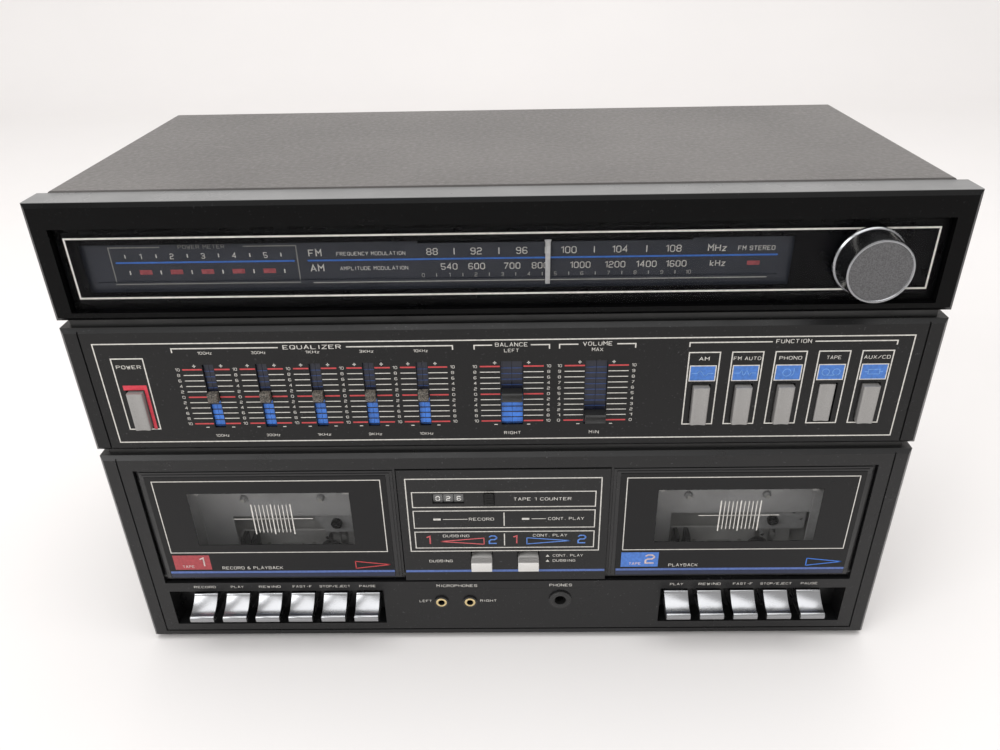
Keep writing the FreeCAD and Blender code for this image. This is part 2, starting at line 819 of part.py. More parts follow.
def make_slot_liners():
    """A coloured tray behind each slide control's slot, slit for the control's stem."""
    liners = []
    wall = S.liner_wall
    front = S.bezel_wall
    back = front + S.liner_depth + wall
    for name, place, width in slot_places():
        outside = box(centred(place, width + wall * 2), (front, back),
                      (slot_z[0] - wall, slot_z[1] + wall))
        inside = box(centred(place, width), (front - 1.0, back - wall), slot_z)
        slit = box(centred(place, S.slider_stem_width + S.sliding_clearance * 2),
                   (front, back + 1.0), slot_z)
        liners.append(cut(outside, [inside, slit]))
    finish(group(liners), "slot_liners")


def make_circuit_boards():
    """Three boards with the slide controls, switches, tuning capacitor and output stage."""
    front, back = slider_board_front, slider_board_front + board_thickness
    control_board = box((-192.0, 192.0), (front, back), (equaliser_base + 4.0, equaliser_top - 4.0))
    pots = []
    for name, place, width in slot_places():
        pot = box(centred(place, 9.0), (frame_back, front), centred(slot_base, 46.0))
        track = box(centred(place, S.slider_stem_width + S.sliding_clearance * 2),
                    (frame_back - 1.0, front - 1.0), centred(slot_base, S.slot_height))
        pots.append(cut(pot, [track]))
    switches = []
    for name, place in button_places():
        switch = box(centred(place, switch_width), (frame_back, front), centred(button_base, 18.0))
        well = box(centred(place, 4.8), (frame_back - 1.0, front), centred(button_base, 4.8))
        switches.append(cut(switch, [well]))
    tuner_floor = tuner_base + 4.0
    tuner_board = box((-190.0, 90.0), (34.0, 150.0), (tuner_floor, tuner_floor + board_thickness))
    on_tuner = tuner_floor + board_thickness
    capacitor = box((20.0, 45.0), (60.0, 85.0), (on_tuner, on_tuner + 20.0))
    coils = [box(centred(-60.0 + 22.0 * number, 10.0), (100.0, 110.0), (on_tuner, on_tuner + 13.0))
             for number in range(3)]
    main_board = box((-75.0, 185.0), (90.0, 168.0), (board_height, board_height + board_thickness))
    on_main = board_height + board_thickness
    heat_sink = box((100.0, 160.0), (130.0, 160.0), (on_main, on_main + 26.0))
    cans = [rod("z", 6.0, (-50.0 + 24.0 * number, 112.0, on_main), 22.0) for number in range(4)]
    parts = [control_board, tuner_board, capacitor, main_board, heat_sink]
    finish(group(parts + pots + switches + coils + cans), "circuit_boards")


def make_power_transformer():
    floor = base + S.sheet_metal
    foot = box((-170.0, -110.0), (95.0, 145.0), (floor, floor + 2.0))
    core = box((-165.0, -115.0), (103.0, 137.0), (floor + 2.0, floor + 44.0))
    winding = box((-157.0, -123.0), (94.0, 146.0), (floor + 9.0, floor + 37.0))
    finish(fuse([foot, core, winding]), "power_transformer")


def make_rear_sockets():
    """Phono sockets, a terminal block and the bush that the mains lead passes through."""
    rear = S.cabinet_depth
    reach = S.rear_socket_reach
    plate_x = (rca_first_x - 9.0, rca_first_x + rca_pitch * (rca_columns - 1) + 9.0)
    plate = box(plate_x, (rear, rear + 1.0), (rca_rows_z[0] - 9.0, rca_rows_z[1] + 9.0))
    sleeves = [rod("y", rca_radius, (x, rear, z), reach) for x, z in rca_places()]
    bores = [rod("y", 1.6, (x, rear + 0.5, z), reach) for x, z in rca_places()]
    sockets = cut(fuse([plate] + sleeves), bores)
    terminals = box(centred(terminal_x, 60.0), (rear, rear + 6.0), centred(terminal_z, 22.0))
    grips = [rod("y", 4.0, (terminal_x - 21.0 + 14.0 * number, rear + 2.0, terminal_z), reach - 3.0)
             for number in range(4)]
    gland = fuse([rod("y", gland_radius, (gland_x, rear, gland_z), 4.0),
                  rod("y", gland_radius - 1.6, (gland_x, rear - 5.0, gland_z), 5.0)])
    lead_hole = rod("y", 3.2, (gland_x, rear - 6.0, gland_z), 12.0)
    finish(group([sockets, fuse([terminals] + grips), cut(gland, [lead_hole])]), "rear_sockets")


def make_jack(place, height, bore, sleeve, depth):
    collar = rod("y", sleeve + 1.2, (place, -S.jack_collar_reach, height), S.jack_collar_reach)
    barrel = rod("y", sleeve, (place, -S.jack_collar_reach, height), depth)
    case = box(centred(place, sleeve * 2 + 4.0), (S.bezel_wall, depth),
               centred(height, sleeve * 2 + 4.0))
    hole = rod("y", bore, (place, -S.jack_collar_reach - 1.0, height), depth)
    return cut(fuse([collar, barrel, case]), [hole])


def make_front_jacks():
    jacks = [make_jack(place, microphone_z, S.microphone_bore_radius, microphone_sleeve, 16.0)
             for place in microphones]
    jacks.append(make_jack(S.phones_x, phones_z, S.phones_bore_radius, phones_sleeve, 30.0))
    finish(group(jacks), "front_jacks")


# ---------------------------------------------------------------- controls

def make_tuning_knob():
    """A turned knob in one piece with the shaft that drives the dial cord."""
    body = new_body("knob")
    sketch = new_sketch(body, "YZ_Plane")
    window_front = S.dial_recess
    back_of_knob = window_front - 0.5
    skirt_front = back_of_knob - 3.0
    draw_outline(sketch, [(-S.knob_reach, 0.0), (-S.knob_reach, S.knob_face_radius - 0.6),
                          (-S.knob_reach + 0.6, S.knob_face_radius), (skirt_front, S.knob_radius),
                          (skirt_front, S.knob_skirt_radius), (back_of_knob, S.knob_skirt_radius),
                          (back_of_knob, S.tuning_shaft_radius), (32.0, S.tuning_shaft_radius),
                          (32.0, 0.0)])
    turned = body.newObject("PartDesign::Revolution", "turned")
    turned.Profile = sketch
    turned.ReferenceAxis = (sketch, ["H_Axis"])
    turned.Angle = 360.0
    finish(body, "tuning_knob", S.knob_x, 0.0, knob_height)


def make_tuning_drum():
    drum = fuse([rod("y", S.drum_radius, (0.0, 22.0, 0.0), 1.2),
                 rod("y", S.drum_radius - 1.5, (0.0, 23.2, 0.0), 2.6),
                 rod("y", S.drum_radius, (0.0, 25.8, 0.0), 1.2)])
    bore = rod("y", 2.0 + S.running_clearance, (0.0, 20.0, 0.0), 10.0)
    finish(cut(drum, [bore]), "tuning_drum", S.drum_x, 0.0, knob_height)


def make_dial_pointer():
    """A thin needle in front of the scale, carried through the slot by its carriage."""
    front = scale_front - 1.5
    thickness = S.pointer_thickness
    needle = box(symmetric(S.pointer_width / 2), (front, front + thickness),
                 (dial_low + 11.2, dial_low + 32.4))
    head = box(symmetric(2.4), (front, front + thickness), (dial_low + 30.6, dial_low + 32.4))
    stem = box(symmetric(1.0), (front, carriage_y - 1.0), centred(pointer_slot_z, 1.4))
    carriage = box(symmetric(5.0), (carriage_y - 2.6, carriage_y + 2.6), centred(pointer_slot_z, 5.2))
    hole = rod("x", rail_radius + S.running_clearance, (-6.0, carriage_y, pointer_slot_z), 12.0)
    finish(fuse([needle, head, cut(fuse([stem, carriage]), [hole])]), "dial_pointer",
           S.pointer_rest_x)


def make_push_button(name, place):
    """A silver key cap with a square stem that works the switch behind it."""
    body = new_body(name)
    sunk = S.button_travel if name == "tape" else Size(0.0)
    outline = new_sketch(body, "XZ_Plane", S.button_reach)
    draw_rectangle(outline, symmetric(S.button_width / 2), symmetric(S.button_height / 2))
    pad(body, outline, S.button_reach + 9.0, reversed_side=True)
    front = -S.button_reach.value

    def front_or_upright(edge):
        return lies_at(edge, "y", front)

    round_or_chamfer(body, "Fillet", front_or_upright, S.button_corner_radius)
    stem = new_sketch(body, "XZ_Plane", -8.0)
    draw_rectangle(stem, symmetric(2.1), symmetric(2.1))
    pad(body, stem, frame_back - 8.0 + 0.5, reversed_side=True)
    finish(body, f"{name}_button", place, sunk, button_base)


def make_slider(name, place, width, reach, setting):
    """A cap in the slot, with a thin stem that reaches the slide control behind."""
    body = new_body(name)
    half_cap = width / 2 - S.sliding_clearance
    outline = new_sketch(body, "XZ_Plane", reach)
    draw_rectangle(outline, symmetric(half_cap), symmetric(S.cap_height / 2))
    pad(body, outline, reach + S.bezel_wall + 2.0, reversed_side=True)
    front = -as_size(reach).value
    round_or_chamfer(body, "Chamfer",
                     lambda edge: lies_at(edge, "y", front) and edge.Length > 4.5, 0.8)
    stem = new_sketch(body, "XZ_Plane", -S.bezel_wall)
    draw_rectangle(stem, symmetric(S.slider_stem_width / 2), symmetric(1.6))
    pad(body, stem, frame_back + 4.0 - S.bezel_wall, reversed_side=True)
    label = f"{name}_slider"
    finish(body, label, place, 0.0, slot_base + setting)


def make_sliders():
    for name, place in band_places():
        make_slider(f"band_{name}", place, S.band_slot_width, S.cap_reach, 0.0)
    make_slider("balance", S.balance_x, S.wide_slot_width, S.wide_cap_reach, 0.0)
    make_slider("volume", S.volume_x, S.wide_slot_width, S.wide_cap_reach, S.volume_setting)


def make_tape_button(name, place):
    """A small silver button of the tape section, guided by its slot."""
    body = new_body(name)
    outline = new_sketch(body, "XZ_Plane", S.tape_button_reach)
    draw_rectangle(outline, symmetric(S.tape_button_width / 2), (0.0, S.tape_button_height))
    pad(body, outline, S.tape_button_reach + 9.0, reversed_side=True)
    front = -S.tape_button_reach.value
    round_or_chamfer(body, "Fillet", lambda edge: lies_at(edge, "y", front), 0.6)
    finish(body, f"{name}_button", place, 0.0, tape_button_z[0])


def make_counter():
    """Three number wheels on one axle behind the counter's window."""
    axle_y = S.bezel_wall + 0.6 + S.counter_wheel_radius
    half = S.counter_width / 2
    wheels = [rod("x", S.counter_wheel_radius, (-half + 0.4 + 5.3 * number, 0.0, 0.0), 5.0)
              for number in range(3)]
    axle = rod("x", 1.5, (-half, 0.0, 0.0), S.counter_width)
    bore = rod("x", 0.8 + S.running_clearance, (-half - 1.0, 0.0, 0.0), S.counter_width + 2.0)
    finish(cut(fuse(wheels + [axle]), [bore]), "counter_wheels", S.counter_x, axle_y, counter_z)


def make_reset_button():
    body = new_body("reset")
    outline = new_sketch(body, "XZ_Plane", S.reset_reach)
    draw_rectangle(outline, symmetric(S.reset_width / 2), symmetric(S.reset_height / 2))
    pad(body, outline, S.reset_reach + 8.0, reversed_side=True)
    front = -S.reset_reach.value
    round_or_chamfer(body, "Fillet", lambda edge: lies_at(edge, "y", front), 0.4)
    finish(body, "counter_reset_button", S.reset_x, 0.0, counter_z)


# ---------------------------------------------------------------- piano keys

def make_key(deck, name, place):
    """One bright key: its dished cap, and the arm that turns on the row's shaft."""
    body = new_body(f"{deck}_{name}")
    profile = new_sketch(body, "YZ_Plane")
    back = S.key_well_depth - 1.2
    draw_outline(profile, [
        (-0.6, S.key_top), (-4.2, S.key_top - 3.2), (-7.8, S.key_top - 5.5),
        (-S.key_nose_reach, S.key_nose), (-S.key_lip_reach, S.key_lip),
        (-S.key_lip_reach + 1.2, S.key_lip - 0.8), (-4.0, S.key_lip - 0.4),
        (back - 3.0, S.key_pivot_height - 3.0), (back, S.key_pivot_height - 3.0), (back, S.key_top)])
    pad(body, profile, S.key_width, midplane=True)
    arm = new_sketch(body, "YZ_Plane")
    draw_outline(arm, [(back - 2.0, S.key_pivot_height - 3.0), (S.key_pivot_depth + 3.0, S.key_pivot_height - 3.0),
                       (S.key_pivot_depth + 3.0, S.key_pivot_height + 3.0), (back - 2.0, S.key_pivot_height + 3.0)])
    pad(body, arm, S.key_arm_width, midplane=True)
    bore = new_sketch(body, "YZ_Plane", -S.key_arm_width)
    draw_circle(bore, S.key_pivot_depth, S.key_pivot_height, S.key_shaft_radius + S.running_clearance)
    pocket(body, bore, S.key_arm_width * 2, reversed_side=True)
    finish(body, f"{deck}_{name}_key", place, 0.0, base)


# ---------------------------------------------------------------- cassette decks

chassis_y = (S.chassis_front, S.chassis_front + S.chassis_thickness)
flywheel_y = (chassis_y[1] + 3.0, chassis_y[1] + 3.0 + S.flywheel_thickness)
bracket_y = (flywheel_y[1] + 4.0, flywheel_y[1] + 5.6)
bridge_y = (S.chassis_front - 4.0, S.chassis_front - 2.4)
bridge_low = base + 45.0
bridge_pin_offset = 30.0
bridge_pin_radius = Size(1.5)


def make_belt(middle):
    """The flat belt from the motor's pulley to the flywheel: two arcs and two straights."""
    gap = S.sliding_clearance
    motor_x = (middle - S.motor_offset).value
    wheel_x = (middle + S.capstan_offset).value
    faces = []
    for extra in (S.belt_thickness + gap, gap):
        small = (S.pulley_radius + extra).value
        large = (S.flywheel_radius + extra).value
        spacing = wheel_x - motor_x
        sine = (large - small) / spacing
        cosine = (1.0 - sine * sine) ** 0.5
        top_small = Vector(motor_x - small * sine, 0, small * cosine)
        top_large = Vector(wheel_x - large * sine, 0, large * cosine)
        low_small = Vector(top_small.x, 0, -top_small.z)
        low_large = Vector(top_large.x, 0, -top_large.z)
        loop = Part.Wire([
            Part.LineSegment(top_small, top_large).toShape(),
            Part.Arc(top_large, Vector(wheel_x + large, 0, 0), low_large).toShape(),
            Part.LineSegment(low_large, low_small).toShape(),
            Part.Arc(low_small, Vector(motor_x - small, 0, 0), top_small).toShape()])
        faces.append(Part.Face(loop))
    belt = document.addObject("Part::Feature", "belt")
    belt.Shape = faces[0].cut(faces[1]).extrude(Vector(0, (S.flywheel_thickness - 3.0).value, 0))
    shift(belt, 0.0, flywheel_y[0] + 1.5, capstan_z)
    return belt


def make_chassis(deck, middle):
    """The mechanism plate with its posts, spindle pins, key shaft, motor and belt."""
    side = -1 if deck == "deck_1" else 1
    inner, outer = side * 57.0, side * 192.0
    across = (outer, inner) if side < 0 else (inner, outer)
    plate = box(across, chassis_y, (opening_low - 4.0, opening_high + 2.0))
    posts = [box(centred(edge, 3.0), (frame_back, chassis_y[1]), centred(height, 8.0))
             for edge in (side * 59.0, side * 190.5)
             for height in (opening_low + 10.0, opening_high - 6.0)]
    pins = [rod("y", S.spindle_pin_radius, (middle + half, S.spindle_tip_depth + 0.6, spindle_z),
                S.chassis_front - S.spindle_tip_depth) for half in (-S.spindle_spacing / 2,
                                                                    S.spindle_spacing / 2)]
    guides = [rod("y", bridge_pin_radius, (middle + offset, bridge_y[0] - 1.0, bridge_low + 9.0),
                  S.chassis_front - bridge_y[0] + 1.0)
              for offset in (-bridge_pin_offset, bridge_pin_offset)]
    low_x, high_x = well_x(deck)
    ears = [box(centred(edge, 2.0), (S.key_pivot_depth - 4.0, chassis_y[1]),
                (pivot_z - 4.0, opening_low - 2.0)) for edge in (low_x + 0.5, high_x - 0.5)]
    key_shaft = rod("x", S.key_shaft_radius, (low_x + 0.5, pivot_y, pivot_z), high_x - low_x - 1.0)
    bracket_x = (middle - S.motor_offset - 20.0, middle + S.capstan_offset + 24.0)
    bracket = box(bracket_x, bracket_y, centred(capstan_z, 44.0))
    struts = [box(centred(edge, 3.0), (S.chassis_front, bracket_y[1]), centred(capstan_z, 30.0))
              for edge in (bracket_x[0] + 1.5, bracket_x[1] - 1.5)]
    solid = fuse([plate, bracket, key_shaft] + posts + pins + guides + ears + struts)
    capstan_hole = S.capstan_radius + S.running_clearance
    holes = [rod("y", capstan_hole, (middle + S.capstan_offset, 20.0, capstan_z), 40.0),
             rod("y", 2.2, (middle - S.motor_offset, bracket_y[0] - 1.0, capstan_z), 5.0)]
    motor = rod("y", S.motor_radius, (middle - S.motor_offset, bracket_y[1], capstan_z), S.motor_length)
    motor_shaft = rod("y", 1.0, (middle - S.motor_offset, flywheel_y[0], capstan_z),
                      bracket_y[1] - flywheel_y[0])
    pulley = rod("y", S.pulley_radius, (middle - S.motor_offset, flywheel_y[0], capstan_z),
                 S.flywheel_thickness)
    parts = [cut(solid, holes), fuse([motor, motor_shaft, pulley]), make_belt(middle)]
    finish(group(parts), f"{deck}_chassis")


def make_spindle_rib(number):
    """One of the three driving ribs, turned about the spindle's axis."""
    table_front = S.chassis_front - 0.5 - S.reel_table_thickness
    rib = box(symmetric(0.8), (S.spindle_tip_depth + 1.2, table_front + 1.0), (2.0, S.spindle_radius))
    turned = group([rib])
    turned.Placement = Placement(Vector(), Rotation(Vector(0, 1, 0), 120 * number))
    return turned


def make_reel(deck, name, place):
    """A reel table and its ribbed spindle, which turn together on a pin."""
    table_front = S.chassis_front - 0.5 - S.reel_table_thickness
    table = rod("y", S.reel_table_radius, (0.0, table_front, 0.0), S.reel_table_thickness)
    hub = rod("y", S.spindle_radius - 1.0, (0.0, S.spindle_tip_depth, 0.0),
              table_front + 1.0 - S.spindle_tip_depth)
    bore = rod("y", S.spindle_pin_radius + S.running_clearance, (0.0, 0.0, 0.0), 40.0)
    ribs = [make_spindle_rib(number) for number in range(3)]
    finish(cut(fuse([table, hub] + ribs), [bore]), f"{deck}_{name}", place, 0.0, spindle_z)


def make_flywheel(deck, middle):
    """The flywheel with the capstan pressed into it."""
    wheel = rod("y", S.flywheel_radius, (0.0, flywheel_y[0], 0.0), S.flywheel_thickness)
    capstan = rod("y", S.capstan_radius, (0.0, S.spindle_tip_depth + 0.5, 0.0),
                  bracket_y[1] + 0.5 - S.spindle_tip_depth)
    finish(fuse([wheel, capstan]), f"{deck}_flywheel", middle + S.capstan_offset, 0.0, capstan_z)


def make_head_bridge(deck, middle):
    """The sliding plate that lifts the head and the pinch roller into the cassette."""
    low = bridge_low
    plate = box(symmetric(40.0), bridge_y, (low, low + 14.0))
    head = box(symmetric(7.5), (13.0, bridge_y[0]), (low - 1.0, low + 5.2))
    arm = box((S.capstan_offset - 2.0, S.capstan_offset + 2.0), (bridge_y[0] - 6.4, bridge_y[0]),
              (low + 1.0, low + 4.0))
    roller_z = capstan_z - S.capstan_radius - S.pinch_roller_radius - S.bridge_lift - 0.4
    roller = rod("y", S.pinch_roller_radius, (S.capstan_offset, bridge_y[0] - 5.6, roller_z), 5.0)
    slots = [box(centred(offset, bridge_pin_radius * 2 + 0.1), (15.0, 40.0),
                 (low + 9.0 - S.bridge_lift - bridge_pin_radius - 0.4,
                  low + 9.0 + bridge_pin_radius + 0.4))
             for offset in (-bridge_pin_offset, bridge_pin_offset)]
    notch = box(centred(S.capstan_offset, S.capstan_radius * 2 + 3.0), (bridge_y[0] - 0.1, 40.0),
                (low + 5.0, low + 20.0))
    finish(cut(fuse([plate, head, arm, roller]), slots + [notch]), f"{deck}_head_bridge", middle)


def make_door(deck, middle):
    """The hinged door: its frame with the cassette holder behind, and the clear pane."""
    half = S.door_width / 2
    body = new_body(f"{deck}_frame")
    outline = new_sketch(body, "XZ_Plane")
    draw_rectangle(outline, symmetric(half), (0.0, S.door_height))
    pad(body, outline, S.door_frame_depth, reversed_side=True)
    margin = S.door_pane_margin
    front_pocket(body, [(symmetric(half - margin), (margin, S.door_height - margin))],
                 S.door_pane_thickness)
    window = (symmetric(S.door_window_width / 2),
              (S.door_window_low, S.door_window_low + S.door_window_height))
    front_pocket(body, [window], S.door_frame_depth)
    half_holder = S.cassette_width / 2 + S.cassette_clearance
    holder_low = base + S.cassette_low - door_low - S.cassette_clearance
    holder_back = S.door_frame_depth + S.cassette_thickness + 2.0
    holder = []
    for side in (-1, 1):
        inner, outer = side * half_holder, side * (half_holder + S.holder_wall)
        wall_x = (inner, outer) if side > 0 else (outer, inner)
        holder.append(box(wall_x, (S.door_frame_depth - 0.5, holder_back), (holder_low - 1.5, holder_low + 50.0)))
        lip_inner = side * (half_holder - 5.0)
        lip_x = (lip_inner, outer) if side > 0 else (outer, lip_inner)
        holder.append(box(lip_x, (holder_back, holder_back + 1.2), (holder_low - 1.5, holder_low + 50.0)))
        ledge_inner = side * 31.0
        ledge_x = (ledge_inner, outer) if side > 0 else (outer, ledge_inner)
        holder.append(box(ledge_x, (S.door_frame_depth - 0.5, holder_back + 1.2),
                          (holder_low - 1.5, holder_low)))
    pin_y, pin_z = S.door_hinge_depth, S.door_hinge_height
    pin_length = S.door_pin_root + S.door_pin_reach
    pins = [rod("x", S.door_pin_radius, (-half - S.door_pin_reach, pin_y, pin_z), pin_length),
            rod("x", S.door_pin_radius, (half - S.door_pin_root, pin_y, pin_z), pin_length)]
    pane_gap = S.window_clearance
    pane = box(symmetric(half - margin - pane_gap), (0.0, S.door_pane_thickness),
               (margin + pane_gap, S.door_height - margin - pane_gap))
    finish(group([fuse([body] + holder + pins), pane]), f"{deck}_door", middle, 0.0, door_low)


# ---------------------------------------------------------------- the whole model

def make_model():
    make_cabinet_cover()
    make_base_pan()
    make_rear_panel()
    make_front_frame()
    make_tuner_bezel()
    make_equaliser_bezel()
    make_deck_bezel()
    make_centre_panel()
    make_dial_window()
    make_dial_scale()
    make_rubber_feet()
    make_case_screws()
    make_slot_liners()
    make_circuit_boards()
    make_power_transformer()
    make_rear_sockets()
    make_front_jacks()
    make_tuning_knob()
    make_tuning_drum()
    make_dial_pointer()
    for name, place in button_places():
        make_push_button(name, place)
    make_sliders()
    for name, place in tape_button_x.items():
        make_tape_button(name, place)
    make_counter()
    make_reset_button()
    for deck, middle in deck_middles.items():
        middle = as_size(middle)
        for name, place in key_places(deck):
            make_key(deck, name, place)
        make_chassis(deck, middle)
        make_reel(deck, "supply_reel", middle - S.spindle_spacing / 2)
        make_reel(deck, "takeup_reel", middle + S.spindle_spacing / 2)
        make_flywheel(deck, middle)
        make_head_bridge(deck, middle)
        make_door(deck, -door_middle if deck == "deck_1" else door_middle)


def check_and_write():
    """Refuse a failed feature or an unsound shape, then write each sub-part's file."""
    document.recompute()
    for item in document.Objects:
        if "Invalid" in item.State or "Error" in item.State:
            raise ValueError(f"{item.Label} did not compute: {item.State}")
    for item in sub_parts:
        if item.Shape.isNull() or not item.Shape.isValid() or not item.Shape.Solids:
            raise ValueError(f"{item.Label} has no sound shape")
    os.makedirs("parts", exist_ok=True)
    for item in sub_parts:
        item.Shape.exportStep(f"parts/{item.Label}.step")
        bounds = item.Shape.BoundBox
        print(f"{item.Label}: {len(item.Shape.Solids)} solids, x {bounds.XMin:.1f} to {bounds.XMax:.1f}, "
              f"y {bounds.YMin:.1f} to {bounds.YMax:.1f}, z {bounds.ZMin:.1f} to {bounds.ZMax:.1f}")


make_model()
check_and_write()
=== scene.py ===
"""Looks of a compact stereo: tuner, five-band equaliser and two cassette decks.

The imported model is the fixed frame.  Places are worked out from its nodes, in millimetres.
Printing, knobs, caps, keys, doors and the parts seen through the doors are modelled here.
"""

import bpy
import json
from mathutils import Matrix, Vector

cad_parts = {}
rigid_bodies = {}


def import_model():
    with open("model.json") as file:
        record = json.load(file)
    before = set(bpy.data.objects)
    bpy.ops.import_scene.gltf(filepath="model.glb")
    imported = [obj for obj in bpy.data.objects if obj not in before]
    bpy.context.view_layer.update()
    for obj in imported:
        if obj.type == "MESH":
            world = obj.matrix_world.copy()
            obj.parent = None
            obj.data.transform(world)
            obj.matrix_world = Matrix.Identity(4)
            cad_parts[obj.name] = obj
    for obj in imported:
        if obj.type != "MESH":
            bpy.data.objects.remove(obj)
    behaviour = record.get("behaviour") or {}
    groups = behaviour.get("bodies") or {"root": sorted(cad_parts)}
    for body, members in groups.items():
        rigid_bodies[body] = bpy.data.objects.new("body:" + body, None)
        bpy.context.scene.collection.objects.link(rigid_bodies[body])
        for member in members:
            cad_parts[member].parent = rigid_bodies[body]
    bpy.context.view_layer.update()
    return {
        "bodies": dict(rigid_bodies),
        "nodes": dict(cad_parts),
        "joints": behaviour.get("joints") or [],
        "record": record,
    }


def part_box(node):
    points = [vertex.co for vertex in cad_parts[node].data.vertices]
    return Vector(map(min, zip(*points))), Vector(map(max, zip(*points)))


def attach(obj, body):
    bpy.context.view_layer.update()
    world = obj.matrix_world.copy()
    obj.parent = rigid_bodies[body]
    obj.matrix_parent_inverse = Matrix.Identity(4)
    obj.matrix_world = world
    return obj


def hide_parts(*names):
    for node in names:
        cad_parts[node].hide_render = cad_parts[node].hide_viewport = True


bl_info = {
    "name": "Compact stereo looks",
    "version": (1, 0, 0),
    "blender": (4, 5, 0),
    "location": "View3D > Sidebar > Stereo",
    "description": "Builds the finished look of the tuner, equaliser and cassette decks",
    "category": "Object",
}

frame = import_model()

import json
import math
from functools import cache

import bmesh
import bpy
from bpy.props import FloatProperty, FloatVectorProperty, PointerProperty
from bpy.types import Operator, Panel, PropertyGroup
from mathutils import Matrix, Vector

MM = 0.001  # metres; every mesh is worked out in millimetres and scaled by this at its end
INK_THICKNESS = 0.04
CABINET = "cabinet"

# ---------------------------------------------------------------- places from the frame


def low(node):
    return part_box(node)[0] / MM


def high(node):
    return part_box(node)[1] / MM


def middle(node):
    return (low(node) + high(node)) / 2


def limits(node):
    """The lowest and highest x, y and z of a node, as three pairs."""
    return tuple(zip(low(node), high(node)))


def inset(pair, amount):
    return pair[0] + amount, pair[1] - amount


def around(centre, half):
    return centre - half, centre + half


FRONT = low("equaliser_bezel").y
DECK_BASE = low("deck_bezel").z
DIAL_FACE = low("dial_window").y
PANEL_FACE = low("centre_panel").y

# ---------------------------------------------------------------- sizes and colours


class StereoColours(PropertyGroup):
    """Colours of the finishes."""

    bezel: FloatVectorProperty(name="Bezel", description="Satin black of the three bezels",
                               subtype="COLOR", default=(0.009, 0.009, 0.0095), min=0, max=1)
    cover: FloatVectorProperty(name="Cover", description="Wrinkled skin of the cover",
                               subtype="COLOR", default=(0.118, 0.111, 0.107), min=0, max=1)
    ink: FloatVectorProperty(name="White ink", description="Printed lines and words",
                             subtype="COLOR", default=(0.62, 0.60, 0.56), min=0, max=1)
    red_ink: FloatVectorProperty(name="Red ink", description="Printed red lines and fields",
                                 subtype="COLOR", default=(0.50, 0.045, 0.05), min=0, max=1)
    blue_ink: FloatVectorProperty(name="Blue ink", description="Printed blue lines and fields",
                                  subtype="COLOR", default=(0.035, 0.17, 0.62), min=0, max=1)
    silver: FloatVectorProperty(name="Silver", description="Painted push buttons",
                                subtype="COLOR", default=(0.30, 0.293, 0.285), min=0, max=1)
    floor: FloatVectorProperty(name="Floor", description="Floor and backdrop",
                               subtype="COLOR", default=(0.77, 0.752, 0.745), min=0, max=1)


class StereoSizes(PropertyGroup):
    """Sizes of the details that are modelled here."""

    line_width: FloatProperty(name="Printed line", description="Width of the outlines",
                              default=0.58 * MM, min=0.1 * MM, unit="LENGTH")
    fine_line: FloatProperty(name="Fine line", description="Width of the scale lines",
                             default=0.55 * MM, min=0.1 * MM, unit="LENGTH")
    camera_height: FloatProperty(name="Camera height", description="Camera above the deck's base",
                                 default=360.5 * MM, unit="LENGTH")
    camera_distance: FloatProperty(name="Camera distance", description="Camera before the front",
                                   default=334.3 * MM, unit="LENGTH")


def colours():
    return bpy.context.scene.stereo_colours


def sizes():
    return bpy.context.scene.stereo_sizes


# ---------------------------------------------------------------- materials


def new_material(name, colour, roughness, metallic=0.0, **sockets):
    """A Principled material; further sockets are given by their names with underscores."""
    material = bpy.data.materials.new(name)
    material.use_nodes = True
    shader = material.node_tree.nodes["Principled BSDF"]
    shader.inputs["Base Color"].default_value = (*colour, 1.0)
    shader.inputs["Roughness"].default_value = roughness
    shader.inputs["Metallic"].default_value = metallic
    for socket, value in sockets.items():
        shader.inputs[socket.replace("_", " ")].default_value = value
    return material


def add_node(material, kind, **values):
    node = material.node_tree.nodes.new(kind)
    for name, value in values.items():
        if name in node.inputs:
            node.inputs[name].default_value = value
        else:
            setattr(node, name, value)
    return node


def wire(material, source, output, target, name):
    material.node_tree.links.new(source.outputs[output], target.inputs[name])


def shader_of(material):
    return material.node_tree.nodes["Principled BSDF"]


def pattern(material, scale, detail=3.0, stretch=(1, 1, 1)):
    """Noise on the piece's own coordinates, stretched if asked."""
    place = add_node(material, "ShaderNodeTexCoord")
    mapping = add_node(material, "ShaderNodeMapping", Scale=stretch)
    texture = add_node(material, "ShaderNodeTexNoise", Scale=scale, Detail=detail)
    wire(material, place, "Object", mapping, "Vector")
    wire(material, mapping, "Vector", texture, "Vector")
    return texture


def ramp(material, source, *stops):
    """Map a pattern's value to colours, from (position, colour) stops."""
    node = add_node(material, "ShaderNodeValToRGB")
    for element, (position, colour) in zip(node.color_ramp.elements, stops):
        element.position = position
        element.color = (*colour, 1.0)
    wire(material, source, "Fac", node, "Fac")
    return node


def blend_colours(material, factor, first, second):
    """Mix two colour sources and send the result to the base colour."""
    mix = add_node(material, "ShaderNodeMix", data_type="RGBA")
    links = material.node_tree.links
    links.new(factor, mix.inputs[0])
    for socket, source in ((6, first), (7, second)):
        if isinstance(source, tuple):
            mix.inputs[socket].default_value = (*source, 1.0)
        else:
            links.new(source.outputs["Color"], mix.inputs[socket])
    links.new(mix.outputs[2], shader_of(material).inputs["Base Color"])


def grey(value):
    return (value, value, value)


def scaled(colour, factor):
    return tuple(min(1.0, part * factor) for part in colour)


def vary_colour(material, scale, dark, light, spread=(0.35, 0.65), detail=3.0):
    """Let the base colour drift between two tones."""
    noise = pattern(material, scale, detail)
    tones = ramp(material, noise, (spread[0], dark), (spread[1], light))
    wire(material, tones, "Color", shader_of(material), "Base Color")


